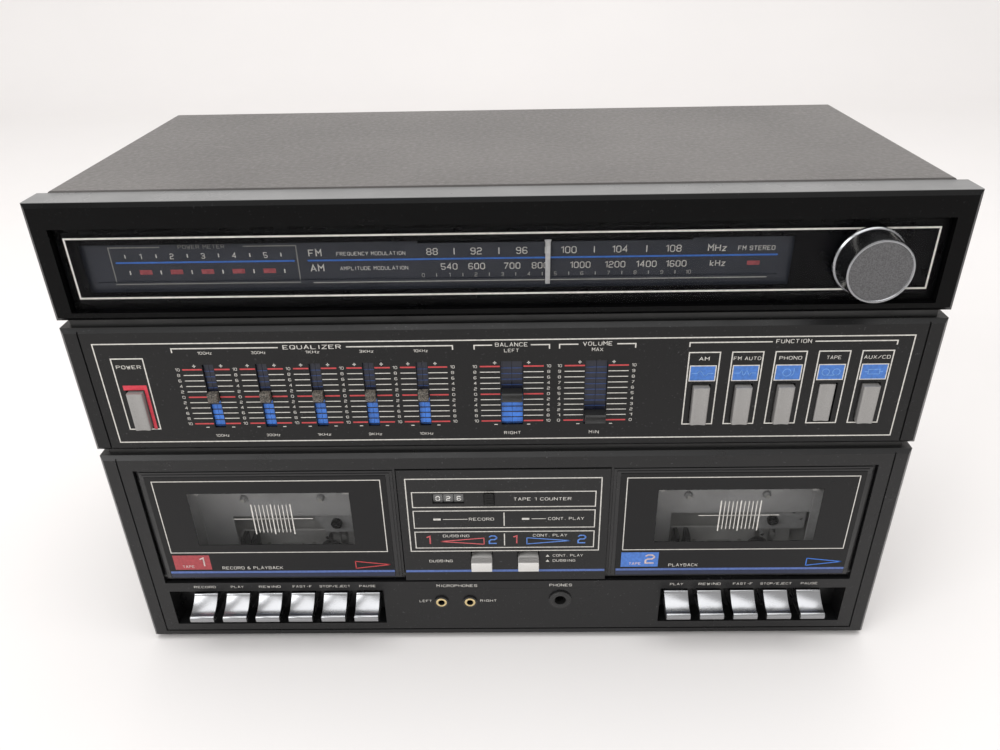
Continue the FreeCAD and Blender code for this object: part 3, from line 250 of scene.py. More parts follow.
def vary_roughness(material, scale, smooth, rough, detail=4.0, stretch=(1, 1, 1)):
    """Let the gloss drift, as handling and dust leave it."""
    noise = pattern(material, scale, detail, stretch)
    tones = ramp(material, noise, (0.3, grey(smooth)), (0.7, grey(rough)))
    wire(material, tones, "Color", shader_of(material), "Roughness")


def add_bump(material, scale, height, strength=0.4, detail=3.0, stretch=(1, 1, 1)):
    """A fine relief from a pattern, its height in millimetres."""
    texture = pattern(material, scale, detail, stretch)
    bump = add_node(material, "ShaderNodeBump", Strength=strength, Distance=height * MM)
    wire(material, texture, "Fac", bump, "Height")
    wire(material, bump, "Normal", shader_of(material), "Normal")


def finish(name, colour, roughness, metallic=0.0, tones=(), gloss=(), grain=(), **sockets):
    """A material whose tones, gloss and grain drift; each is the arguments of its function."""
    material = new_material(name, colour, roughness, metallic, **sockets)
    for vary, arguments in ((vary_colour, tones), (vary_roughness, gloss), (add_bump, grain)):
        if arguments:
            vary(material, *arguments)
    return material


def bezel_plastic(top, gloss, top_sheen):
    """Moulded satin black with a few dust specks, and a painted sheen on its flat top: a lighter grey
    that stands for the room reflected at a glancing angle.
    """
    base = scaled(tuple(colours().bezel), gloss)
    material = new_material("bezel_plastic", base, 0.30, Specular_IOR_Level=gloss * 0.5)
    specks = ramp(material, pattern(material, 900.0, 1.0), (0.70, base), (0.80, scaled(base, 8.0)))
    # Painted sheen: the flat top is made a mottled light grey in place of a glancing reflection.
    painted_top_sheen = ramp(material, pattern(material, 40.0, 5.0), (0.3, grey(top_sheen * 0.85)),
                (0.7, grey(top_sheen)))
    place = add_node(material, "ShaderNodeTexCoord")
    parts = add_node(material, "ShaderNodeSeparateXYZ")
    wire(material, place, "Object", parts, "Vector")
    # Mask of the flat top that takes the painted sheen.
    height = add_node(material, "ShaderNodeMapRange")
    height.inputs["From Min"].default_value = (top - 0.25) * MM
    height.inputs["From Max"].default_value = (top - 0.05) * MM
    wire(material, parts, "Z", height, "Value")
    blend_colours(material, height.outputs["Result"], specks, painted_top_sheen)
    vary_roughness(material, 35.0, 0.24, 0.38)
    add_bump(material, 2600.0, 0.02, 0.35)
    return material


def cover_skin():
    """Dark grey wrinkle-grained vinyl with pale scuffs where things were set down."""
    base = tuple(colours().cover)
    material = new_material("cover_skin", base, 0.52, Specular_IOR_Level=0.6)
    tones = ramp(material, pattern(material, 9.0, 4.0), (0.3, scaled(base, 0.85)),
                 (0.7, scaled(base, 1.15)))
    scuffs = pattern(material, 26.0, 8.0, (1.0, 2.4, 1.0))
    marks = ramp(material, scuffs, (0.70, grey(0.0)), (0.80, grey(0.5)))
    blend_colours(material, marks.outputs["Color"], tones, scaled(base, 1.9))
    vary_roughness(material, 420.0, 0.42, 0.62, 2.0)
    add_bump(material, 620.0, 0.35, 0.75, 6.0)
    return material


def ink_colours():
    """Screen-printed inks."""
    own = colours()
    white = tuple(own.ink)
    return {
        "white_ink": white, "dim_ink": scaled(white, 0.42), "pale_ink": scaled(white, 0.7),
        "scale_ink": scaled(white, 1.2), "window_ink": (0.66, 0.64, 0.60),
        "label_ink": (0.66, 0.52, 0.50), "digit_white": (0.80, 0.79, 0.76),
        "red_ink": tuple(own.red_ink), "soft_red_ink": (0.36, 0.045, 0.055),
        "red_field_ink": (0.60, 0.035, 0.06), "number_red_ink": (0.62, 0.11, 0.12),
        "blue_ink": tuple(own.blue_ink), "soft_blue_ink": (0.06, 0.18, 0.56),
        "bright_blue_ink": (0.08, 0.14, 0.38), "dark_blue_ink": (0.012, 0.018, 0.05),
        "blue_line_ink": (0.018, 0.045, 0.15), "blue_field_ink": (0.05, 0.17, 0.52),
        "number_blue_ink": (0.10, 0.24, 0.66), "sign_ink": (0.16, 0.34, 0.68),
        # Black of the painted shadow line above the jacks.
        "painted_step_shadow_ink": grey(0.001),
    }


ALONG_X = (0.1, 1.0, 1.0)
GRAINED_X = (0.2, 1.0, 1.0)

FINISHES = {
    # Plastics: base colour and roughness, then scale and limits of what drifts.
    "frame_plastic": (grey(0.008), 0.5, {"gloss": (60, 0.4, 0.6), "grain": (900, 0.05, 0.3)}),
    "black_cap_plastic": (grey(0.012), 0.38, {"gloss": (300, 0.3, 0.5),
                                              "grain": (1800, 0.02, 0.3)}),
    "dusty_cap_plastic": ((0.07, 0.062, 0.052), 0.6, {
        "tones": (1500, (0.028, 0.025, 0.022), (0.17, 0.15, 0.125), (0.4, 0.62), 5.0),
        "grain": (1500, 0.05, 0.6)}),
    # Navy of the slot trays and liners, darkened partly as painted shade inside the deep slots.
    "navy_tray_and_shade": ((0.006, 0.008, 0.02), 0.35, {"gloss": (200, 0.28, 0.45)}),
    "jack_plastic": (grey(0.012), 0.32, {"gloss": (500, 0.25, 0.4), "grain": (1500, 0.02, 0.3)}),
    "pointer_plastic": (grey(0.62), 0.35, {"tones": (400, grey(0.52), grey(0.66))}),
    "wheel_plastic": (grey(0.13), 0.5, {"tones": (500, grey(0.11), grey(0.15))}),
    "holder_grey": (grey(0.5), 0.5, {"tones": (300, grey(0.46), grey(0.54))}),
    "reset_black": (grey(0.003), 0.3, {"gloss": (700, 0.25, 0.4), "Specular_IOR_Level": 0.3}),
    "pane_black": ((0.007, 0.007, 0.0075), 0.22, {"gloss": (30, 0.18, 0.28),
                                                  "Specular_IOR_Level": 0.25}),
    "window_mask": ((0.0025, 0.0025, 0.003), 0.3, {"gloss": (120, 0.25, 0.36),
                                                   "Specular_IOR_Level": 0.1}),
    "smoked_window": ((0.003, 0.003, 0.004), 0.05, {
        "gloss": (18, 0.05, 0.10), "Alpha": 0.14, "IOR": 1.49, "Specular_IOR_Level": 0.17}),
    "clear_pane": ((0.02, 0.02, 0.02), 0.06, {
        "gloss": (18, 0.06, 0.11), "Alpha": 0.2, "IOR": 1.49, "Specular_IOR_Level": 0.3}),
    "nylon": ((0.62, 0.61, 0.57), 0.42, {
        "tones": (120, (0.52, 0.51, 0.47), (0.66, 0.65, 0.61)), "grain": (900, 0.01, 0.2),
        "Subsurface_Weight": 0.05}),
    "rubber": (grey(0.015), 0.75, {"tones": (300, grey(0.01), grey(0.03)),
                                   "grain": (1200, 0.05, 0.5)}),
    # Boards and paints.
    "scale_board": ((0.02, 0.024, 0.036), 0.5, {
        "tones": (60, (0.019, 0.023, 0.034), (0.027, 0.031, 0.044)), "grain": (900, 0.02, 0.2)}),
    "circuit_board": ((0.30, 0.19, 0.07), 0.5, {
        "tones": (150, (0.22, 0.14, 0.05), (0.33, 0.22, 0.09)), "grain": (700, 0.02, 0.3)}),
    "lamp_red": ((0.34, 0.06, 0.07), 0.3, {
        "tones": (900, (0.27, 0.045, 0.055), (0.40, 0.08, 0.09))}),
    "black_paint": (grey(0.02), 0.45, {"gloss": (90, 0.38, 0.55), "grain": (1400, 0.03, 0.4)}),
    "transformer_paint": ((0.10, 0.09, 0.08), 0.5, {
        "metallic": 0.4, "tones": (200, (0.07, 0.065, 0.06), (0.15, 0.14, 0.13)),
        "grain": (1500, 0.05, 0.4, 3.0, (1.0, 12.0, 1.0))}),
    "bright_silver_paint": ((0.66, 0.65, 0.63), 0.3, {
        "metallic": 0.2, "tones": (2200, (0.60, 0.59, 0.57), (0.68, 0.67, 0.65)),
        "grain": (3000, 0.01, 0.2)}),
    # Metals.
    "chrome_plating": ((0.33, 0.334, 0.345), 0.24, {
        "metallic": 1.0, "gloss": (45, 0.2, 0.3, 4.0, (1.0, 1.0, 4.0)),
        "grain": (160, 0.004, 0.12)}),
    "satin_face": ((0.135, 0.135, 0.14), 0.42, {
        "metallic": 1.0, "grain": (2600, 0.015, 0.4),
        "tones": (2200, (0.105, 0.105, 0.108), (0.165, 0.165, 0.17), (0.35, 0.65), 4.0)}),
    "gold_ring": ((0.78, 0.62, 0.33), 0.2, {
        "metallic": 1.0, "gloss": (500, 0.14, 0.34), "grain": (900, 0.01, 0.2)}),
    "head_metal": (grey(0.62), 0.2, {
        "metallic": 1.0, "gloss": (400, 0.14, 0.28), "grain": (900, 0.01, 0.15)}),
    "screw_steel": (grey(0.32), 0.3, {
        "metallic": 1.0, "gloss": (900, 0.25, 0.45), "grain": (1500, 0.02, 0.3)}),
    "socket_metal": (grey(0.42), 0.32, {
        "metallic": 0.9, "gloss": (600, 0.24, 0.42), "grain": (1200, 0.01, 0.2)}),
    "plated_steel": (grey(0.55), 0.38, {
        "metallic": 0.9, "tones": (30, (0.40, 0.40, 0.39), (0.58, 0.575, 0.56)),
        "gloss": (180, 0.3, 0.48, 4.0, ALONG_X), "grain": (500, 0.01, 0.2, 3.0, (0.05, 1.0, 1.0))}),
    "deck_metal": (grey(0.5), 0.5, {
        "metallic": 0.2, "tones": (60, (0.44, 0.435, 0.425), (0.57, 0.565, 0.55)),
        "gloss": (260, 0.42, 0.58, 4.0, GRAINED_X), "grain": (700, 0.01, 0.2, 3.0, ALONG_X)}),
    "cover_plate_metal": (grey(0.6), 0.55, {
        "tones": (50, grey(0.55), grey(0.65)), "gloss": (200, 0.45, 0.62, 4.0, GRAINED_X)}),
}


def coloured_finishes():
    """The finishes whose colour is set in the panel."""
    silver = tuple(colours().silver)
    tray = tuple(colours().blue_ink)
    return {
        "door_plastic": (scaled(tuple(colours().bezel), 1.1), 0.3, {
            "gloss": (50, 0.25, 0.38), "grain": (2400, 0.02, 0.3)}),
        "silver_paint": (silver, 0.36, {
            "metallic": 0.35, "tones": (2500, scaled(silver, 0.9), scaled(silver, 1.06)),
            "grain": (3000, 0.01, 0.3)}),
        "blue_tray_plastic": (tray, 0.35, {
            "tones": (220, scaled(tray, 0.8), scaled(tray, 1.15)), "grain": (900, 0.02, 0.2)}),
    }


@cache
def finish_of(name):
    """The finish or ink of this name, made once and shared."""
    inks = ink_colours()
    if name in inks:
        tones = (700, scaled(inks[name], 0.82), scaled(inks[name], 1.05))
        return finish(name, inks[name], 0.45, tones=tones)
    colour, roughness, more = {**FINISHES, **coloured_finishes()}[name]
    return finish(name, colour, roughness, **more)


# ---------------------------------------------------------------- making meshes


class Shape:
    """A mesh under construction, with one material slot for each finish used."""

    def __init__(self, name):
        self.name = name
        self.mesh = bmesh.new()
        self.finishes = []

    def paint(self, faces, material):
        """Give faces a finish."""
        if material not in self.finishes:
            self.finishes.append(material)
        for face in faces:
            face.material_index = self.finishes.index(material)

    def faces_of(self, verts):
        return list({face for vert in verts for face in vert.link_faces})

    def take(self, data):
        """Add a finished mesh and return its vertices."""
        before = set(self.mesh.verts)
        self.mesh.from_mesh(data)
        return [vert for vert in self.mesh.verts if vert not in before]

    def take_curve(self, curve):
        """Add a flat curve as a mesh, turned to face the front, and return its vertices."""
        holder = bpy.data.objects.new(curve.name, curve)
        flat = bpy.data.meshes.new_from_object(holder)
        fresh = self.take(flat)
        bmesh.ops.rotate(self.mesh, cent=(0, 0, 0), matrix=Matrix.Rotation(math.pi / 2, 3, "X"),
                         verts=fresh)
        bpy.data.objects.remove(holder)
        bpy.data.curves.remove(curve)
        bpy.data.meshes.remove(flat)
        return fresh

    def round_edges(self, faces, round_by, segments):
        if not round_by:
            return faces
        edges = list({edge for face in faces for edge in face.edges})
        rounded = bmesh.ops.bevel(self.mesh, geom=edges, offset=round_by, segments=segments,
                                  affect="EDGES", profile=0.5, material=-1, clamp_overlap=True)
        return self.faces_of(rounded["verts"])

    def block(self, x, y, z, material, round_by=0.0, segments=2):
        """A block between limits (low, high) on each axis, its edges rounded."""
        made = bmesh.ops.create_cube(self.mesh, size=1.0)["verts"]
        size = Vector((x[1] - x[0], y[1] - y[0], z[1] - z[0]))
        centre = Vector((x[0] + x[1], y[0] + y[1], z[0] + z[1])) / 2
        bmesh.ops.scale(self.mesh, vec=size, verts=made)
        bmesh.ops.translate(self.mesh, vec=centre, verts=made)
        faces = self.faces_of(made)
        self.paint(faces, material)
        return self.round_edges(faces, round_by, segments)

    def rod(self, start, end, radius, material, end_radius=None, steps=32):
        """A round bar or cone from one point to another."""
        start = Vector(start)
        end = Vector(end)
        along = end - start
        turn = along.to_track_quat("Z", "Y").to_matrix().to_4x4()
        place = Matrix.Translation((start + end) / 2) @ turn
        top = radius if end_radius is None else end_radius
        made = bmesh.ops.create_cone(self.mesh, cap_ends=True, segments=steps, radius1=radius,
                                     radius2=top, depth=along.length, matrix=place)["verts"]
        faces = self.faces_of(made)
        self.paint(faces, material)
        return faces

    def turned(self, outline, centre, axis, material, steps=96):
        """Spin an outline of (radius, height along the axis) pairs about an axis."""
        axis = Vector(axis)
        centre = Vector(centre)
        across = axis.orthogonal().normalized()
        points = [self.mesh.verts.new(centre + across * radius + axis * height)
                  for radius, height in outline]
        edges = [self.mesh.edges.new(pair) for pair in zip(points, points[1:])]
        before = set(self.mesh.faces)
        bmesh.ops.spin(self.mesh, geom=points + edges, cent=centre, axis=axis,
                       angle=2 * math.pi, steps=steps, use_merge=True)
        grown = {vert for face in self.mesh.faces if face not in before for vert in face.verts}
        bmesh.ops.remove_doubles(self.mesh, verts=list(grown), dist=0.001)
        faces = [face for face in self.mesh.faces if face not in before]
        bmesh.ops.recalc_face_normals(self.mesh, faces=faces)
        self.paint(faces, material)
        return faces

    def prism(self, outline, start, end, axis, material, round_by=0.0, segments=2):
        """Extrude a closed outline of (u, v) pairs from one place to another on an axis.

        The pairs are (y, z) along x, (x, z) along y and (x, y) along z.
        """
        order = {"x": (1, 2, 0), "y": (0, 2, 1), "z": (0, 1, 2)}[axis]

        def place(*values):
            return Vector(value for _, value in sorted(zip(order, values)))

        ring = [self.mesh.verts.new(place(*pair, start)) for pair in outline]
        face = self.mesh.faces.new(ring)
        grown = bmesh.ops.extrude_face_region(self.mesh, geom=[face])["geom"]
        moved = [item for item in grown if isinstance(item, bmesh.types.BMVert)]
        bmesh.ops.translate(self.mesh, vec=place(0, 0, end - start), verts=moved)
        faces = self.faces_of(ring + moved)
        bmesh.ops.recalc_face_normals(self.mesh, faces=faces)
        self.paint(faces, material)
        return self.round_edges(faces, round_by, segments)

    def piece(self, body, slot=None, replaces=(), smooth=35.0):
        """Finish the mesh as an object that rides on a body."""
        bmesh.ops.scale(self.mesh, vec=(MM, MM, MM), verts=self.mesh.verts)
        data = bpy.data.meshes.new(self.name)
        self.mesh.to_mesh(data)
        self.mesh.free()
        for material in self.finishes:
            data.materials.append(material)
        made = bpy.data.objects.new(self.name, data)
        bpy.context.scene.collection.objects.link(made)
        if smooth:
            data.shade_smooth()
            data.set_sharp_from_angle(angle=math.radians(smooth))
        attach(made, body)
        if replaces:
            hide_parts(*replaces)
        return made


# Strokes of squared letters, as corners on a grid four wide and six high.
LETTERS = {
    "A": "002640 1232", "B": "0006364544330300 3342413000", "C": "4536160501103041",
    "D": "00063645413000", "E": "40000646 0333", "F": "000646 0333", "G": "453616050110304143 2343",
    "H": "0006 4046 0343", "I": "1016", "J": "0110203136", "K": "0006 461340", "L": "060040",
    "M": "0006234640", "N": "00064046", "O": "100105163645413010", "P": "00063645443303",
    "Q": "100105163645413010 2240", "R": "00063645443303 2340", "S": "01103041423313040516364544",
    "T": "0646 2620", "U": "060110304146", "V": "062046", "W": "0610243046", "X": "0046 0640",
    "Y": "062346 2320", "Z": "06460040", "k": "0006 340230", "z": "04340030",
    "0": "100105163645413010", "1": "052620", "2": "05163645443313020040",
    "3": "051636454433 13334241301001", "4": "30360242", "5": "460603334241301001",
    "6": "4536160501103041423303", "7": "064610", "8": "1304051636454433130201103041423313",
    "9": "0110304145361605041343", "/": "0046", "-": "1333", ".": "1011", " ": "",
    "&": "40041526350201102042",
}
PEN_WIDTH = 0.95
LETTER_GAP = 1.95


def flat_curve(name, fill):
    curve = bpy.data.curves.new(name, "CURVE")
    curve.dimensions = "2D"
    curve.fill_mode = fill
    return curve


def add_line(curve, corners, closed=False):
    spline = curve.splines.new("POLY")
    spline.points.add(len(corners) - 1)
    for point, (across, up) in zip(spline.points, corners):
        point.co = (across, up, 0, 1)
    spline.use_cyclic_u = closed


class Printing(Shape):
    """Thin printed lines, fields and words on a front face, seen from the front."""

    def __init__(self, name, face, base):
        super().__init__(name)
        self.face = face
        self.base = base

    def field(self, x, z, material, lift=0.0):
        """A filled rectangle, with its limits in millimetres from the base."""
        near = self.face - INK_THICKNESS - lift
        return self.block((x[0], x[1]), (near, near + INK_THICKNESS * 0.9),
                          (self.base + z[0], self.base + z[1]), material)

    def level(self, x, z, material, width=None):
        """A horizontal line at height z."""
        half = (width or sizes().fine_line / MM) / 2
        return self.field(x, (z - half, z + half), material)

    def upright(self, x, z, material, width=None):
        """A vertical line at x."""
        half = (width or sizes().fine_line / MM) / 2
        return self.field((x - half, x + half), z, material)

    def outline(self, x, z, material, width=None, gap=None):
        """A rectangle of lines, with a gap in its top line for a word if asked."""
        half = (width or sizes().line_width / MM) / 2
        self.upright(x[0] + half, z, material, 2 * half)
        self.upright(x[1] - half, z, material, 2 * half)
        self.level((x[0] + 2 * half, x[1] - 2 * half), z[0] + half, material, 2 * half)
        self.bracket((x[0] + 2 * half, x[1] - 2 * half), z[1] - half, material, gap, 2 * half)

    def bracket(self, x, z, material, gap=None, width=None, drop=0.0):
        """A horizontal line with a gap for a word, and ends that turn down."""
        half = (width or sizes().line_width / MM) / 2
        if gap:
            self.level((x[0], gap[0]), z, material, 2 * half)
            self.level((gap[1], x[1]), z, material, 2 * half)
        else:
            self.level(x, z, material, 2 * half)
        if drop:
            self.upright(x[0] + half, (z - drop, z - half), material, 2 * half)
            self.upright(x[1] - half, (z - drop, z - half), material, 2 * half)

    def polygon(self, points, material):
        """A filled shape from (x, z) corners."""
        ring = [(x, self.base + z) for x, z in points]
        near = self.face - INK_THICKNESS
        return self.prism(ring, near, near + INK_THICKNESS * 0.9, "y", material)

    def stroke(self, points, material, width=0.6):
        """A line of straight runs through (x, z) points."""
        for start, end in zip(map(Vector, points), map(Vector, points[1:])):
            along = (end - start).normalized()
            side = Vector((-along.y, along.x)) * width / 2
            over = along * width * 0.25
            self.polygon([start - over + side, end + over + side, end + over - side,
                          start - over - side], material)

    def ring(self, x, z, radius, material, width=0.6, lift=0.0):
        """A printed circle."""
        inner = (radius - width / 2)
        outer = (radius + width / 2)
        near = INK_THICKNESS + lift
        rim = [(inner, 0.1 * near), (inner, near), (outer, near), (outer, 0.1 * near),
               (inner, 0.1 * near)]
        centre = (x, self.face, self.base + z)
        return self.turned(rim, centre, (0, -1, 0), material, steps=32)

    def lay(self, material, *rows):
        """Several words, as rows of text, x, z, height, whole length and alignment."""
        for text, x, z, *more in rows:
            self.words(text, x, z, material, *more)

    def words(self, text, x, z, material, height, wide=None, align="CENTER"):
        """Squared stroke letters; height is a capital's, and wide is the length of the whole."""
        curve = flat_curve(self.name + "_words", "NONE")
        curve.bevel_depth = PEN_WIDTH / 2
        curve.bevel_resolution = 0
        curve.use_fill_caps = True
        pen = PEN_WIDTH / 2
        for letter in text:
            reach = 1.5
            for run in LETTERS[letter].split():
                corners = [(int(run[at]), int(run[at + 1])) for at in range(0, len(run), 2)]
                add_line(curve, [(pen + across, up - 3.0) for across, up in corners])
                reach = max(reach, *(across for across, _ in corners))
            pen += reach + LETTER_GAP
        total = pen - LETTER_GAP + PEN_WIDTH / 2
        tall = height / (6.0 + PEN_WIDTH)
        broad = wide / total if wide else tall
        fresh = self.take_curve(curve)
        start = {"CENTER": -total / 2, "LEFT": 0.0, "RIGHT": -total}[align]
        bmesh.ops.translate(self.mesh, vec=(start, 0, 0), verts=fresh)
        bmesh.ops.scale(self.mesh, vec=(broad, INK_THICKNESS / PEN_WIDTH, tall), verts=fresh)
        place = (x, self.face - INK_THICKNESS * 0.55, self.base + z)
        bmesh.ops.translate(self.mesh, vec=place, verts=fresh)
        self.paint(self.faces_of(fresh), material)


def skin(node, material):
    """Give a model node a finish."""
    piece = bpy.data.objects[node]
    for slot in piece.material_slots:
        slot.material = material
    if not piece.material_slots:
        piece.data.materials.append(material)


# ---------------------------------------------------------------- stage and camera


class STEREO_OT_stage(Operator):
    """Pale floor and backdrop, soft lights and the camera"""

    bl_idname = "stereo.stage"
    bl_label = "Stage"

    def execute(self, context):
        scene = context.scene
        floor = Shape("floor")
        drop = 1.9
        run = [(-3.2, 0.0), (drop - 0.5, 0.0)]
        for step in range(1, 9):
            turn = math.radians(90 * step / 8)
            run.append((drop - 0.5 + 0.5 * math.sin(turn), 0.5 - 0.5 * math.cos(turn)))
        run.append((drop, 2.6))
        corners = [floor.mesh.verts.new((-3.5, y, z)) for y, z in run]
        edges = [floor.mesh.edges.new(pair) for pair in zip(corners, corners[1:])]
        grown = bmesh.ops.extrude_edge_only(floor.mesh, edges=edges)["geom"]
        moved = [item for item in grown if isinstance(item, bmesh.types.BMVert)]
        bmesh.ops.translate(floor.mesh, vec=(7.0, 0, 0), verts=moved)
        bmesh.ops.recalc_face_normals(floor.mesh, faces=floor.mesh.faces)
        backdrop = new_material("floor_paper", colours().floor, 0.8, Specular_IOR_Level=0.2)
        vary_colour(backdrop, 3.0, scaled(tuple(colours().floor), 0.985), tuple(colours().floor))
        floor.paint(floor.mesh.faces, backdrop)
        data = bpy.data.meshes.new("floor")
        floor.mesh.to_mesh(data)
        floor.mesh.free()
        data.materials.append(backdrop)
        data.shade_smooth()
        ground = bpy.data.objects.new("floor", data)
        scene.collection.objects.link(ground)

        world = bpy.data.worlds.new("soft_room")
        world.use_nodes = True
        world.node_tree.nodes["Background"].inputs["Color"].default_value = (1.0, 0.985, 0.97, 1)
        world.node_tree.nodes["Background"].inputs["Strength"].default_value = 0.78
        scene.world = world
        add_light("ceiling_light", (0.1, -0.3, 2.3), (0, -0.1, 0), (2.6, 2.2), 38.0)
        add_light("window_light", (-1.7, -1.5, 1.5), (0, 0, 0.1), (1.2, 1.2), 22.0)
        add_camera(scene)
        return {"FINISHED"}


def add_light(name, place, aim, size, power):
    light = bpy.data.lights.new(name, "AREA")
    light.shape = "RECTANGLE"
    light.size = size[0]
    light.size_y = size[1]
    light.energy = power
    lamp = bpy.data.objects.new(name, light)
    lamp.location = place
    lamp.rotation_euler = (Vector(aim) - Vector(place)).to_track_quat("-Z", "Y").to_euler()
    bpy.context.scene.collection.objects.link(lamp)


def add_camera(scene):
    """The camera looks down at the front from a little above the cabinet's top."""
    turn = math.radians(-1.133)
    tip = math.radians(29.331)
    roll = math.radians(-1.179)
    forward = Vector((math.sin(turn) * math.cos(tip), math.cos(turn) * math.cos(tip),
                      -math.sin(tip)))
    level = Vector((math.cos(turn), -math.sin(turn), 0))
    rise = level.cross(forward)
    right = math.cos(roll) * level + math.sin(roll) * rise
    above = -math.sin(roll) * level + math.cos(roll) * rise
    lens = bpy.data.cameras.new("camera")
    lens.sensor_width = 36.0
    lens.lens = 29.09
    lens.clip_start = 0.01
    camera = bpy.data.objects.new("camera", lens)
    place = Vector((middle("deck_bezel").x + 6.22, FRONT, DECK_BASE)) * MM
    place += Vector((0, -sizes().camera_distance, sizes().camera_height))
    columns = Matrix((right, above, -forward)).transposed().to_4x4()
    camera.matrix_world = Matrix.Translation(place) @ columns
    scene.collection.objects.link(camera)
    scene.camera = camera


# ---------------------------------------------------------------- cabinet


class STEREO_OT_cabinet(Operator):
    """Finishes of the cover, frame, bezels, screws, feet and what is inside"""

    bl_idname = "stereo.cabinet"
    bl_label = "Cabinet"

    def execute(self, context):
        skin("cabinet_cover", cover_skin())
        # The third number is the grey of the painted sheen on each bezel's flat top.
        for node, gloss, top_sheen in (("tuner_bezel", 0.18, 0.23), ("equaliser_bezel", 0.55, 0.01),
                                   ("deck_bezel", 0.75, 0.02), ("centre_panel", 0.75, 0.02)):
            skin(node, bezel_plastic(high(node).z, gloss, top_sheen))
        plain = {"front_frame": "frame_plastic", "base_pan": "plated_steel",
                 "rear_panel": "black_paint", "rubber_feet": "rubber",
                 "case_screws": "screw_steel", "circuit_boards": "circuit_board",
                 "power_transformer": "transformer_paint", "rear_sockets": "socket_metal",
                 "tuning_drum": "nylon", "front_jacks": "jack_plastic"}
        for node, name in plain.items():
            skin(node, finish_of(name))
        return {"FINISHED"}


# ---------------------------------------------------------------- tuner


FM_MARKS = {"88": -29.7, "92": -10.0, "96": 10.3, "100": 31.2, "104": 53.9, "108": 77.7}
AM_MARKS = {"540": -22.4, "600": -10.0, "700": 5.9, "800": 18.5, "1000": 36.5, "1200": 52.1,
            "1400": 66.1, "1600": 79.4}


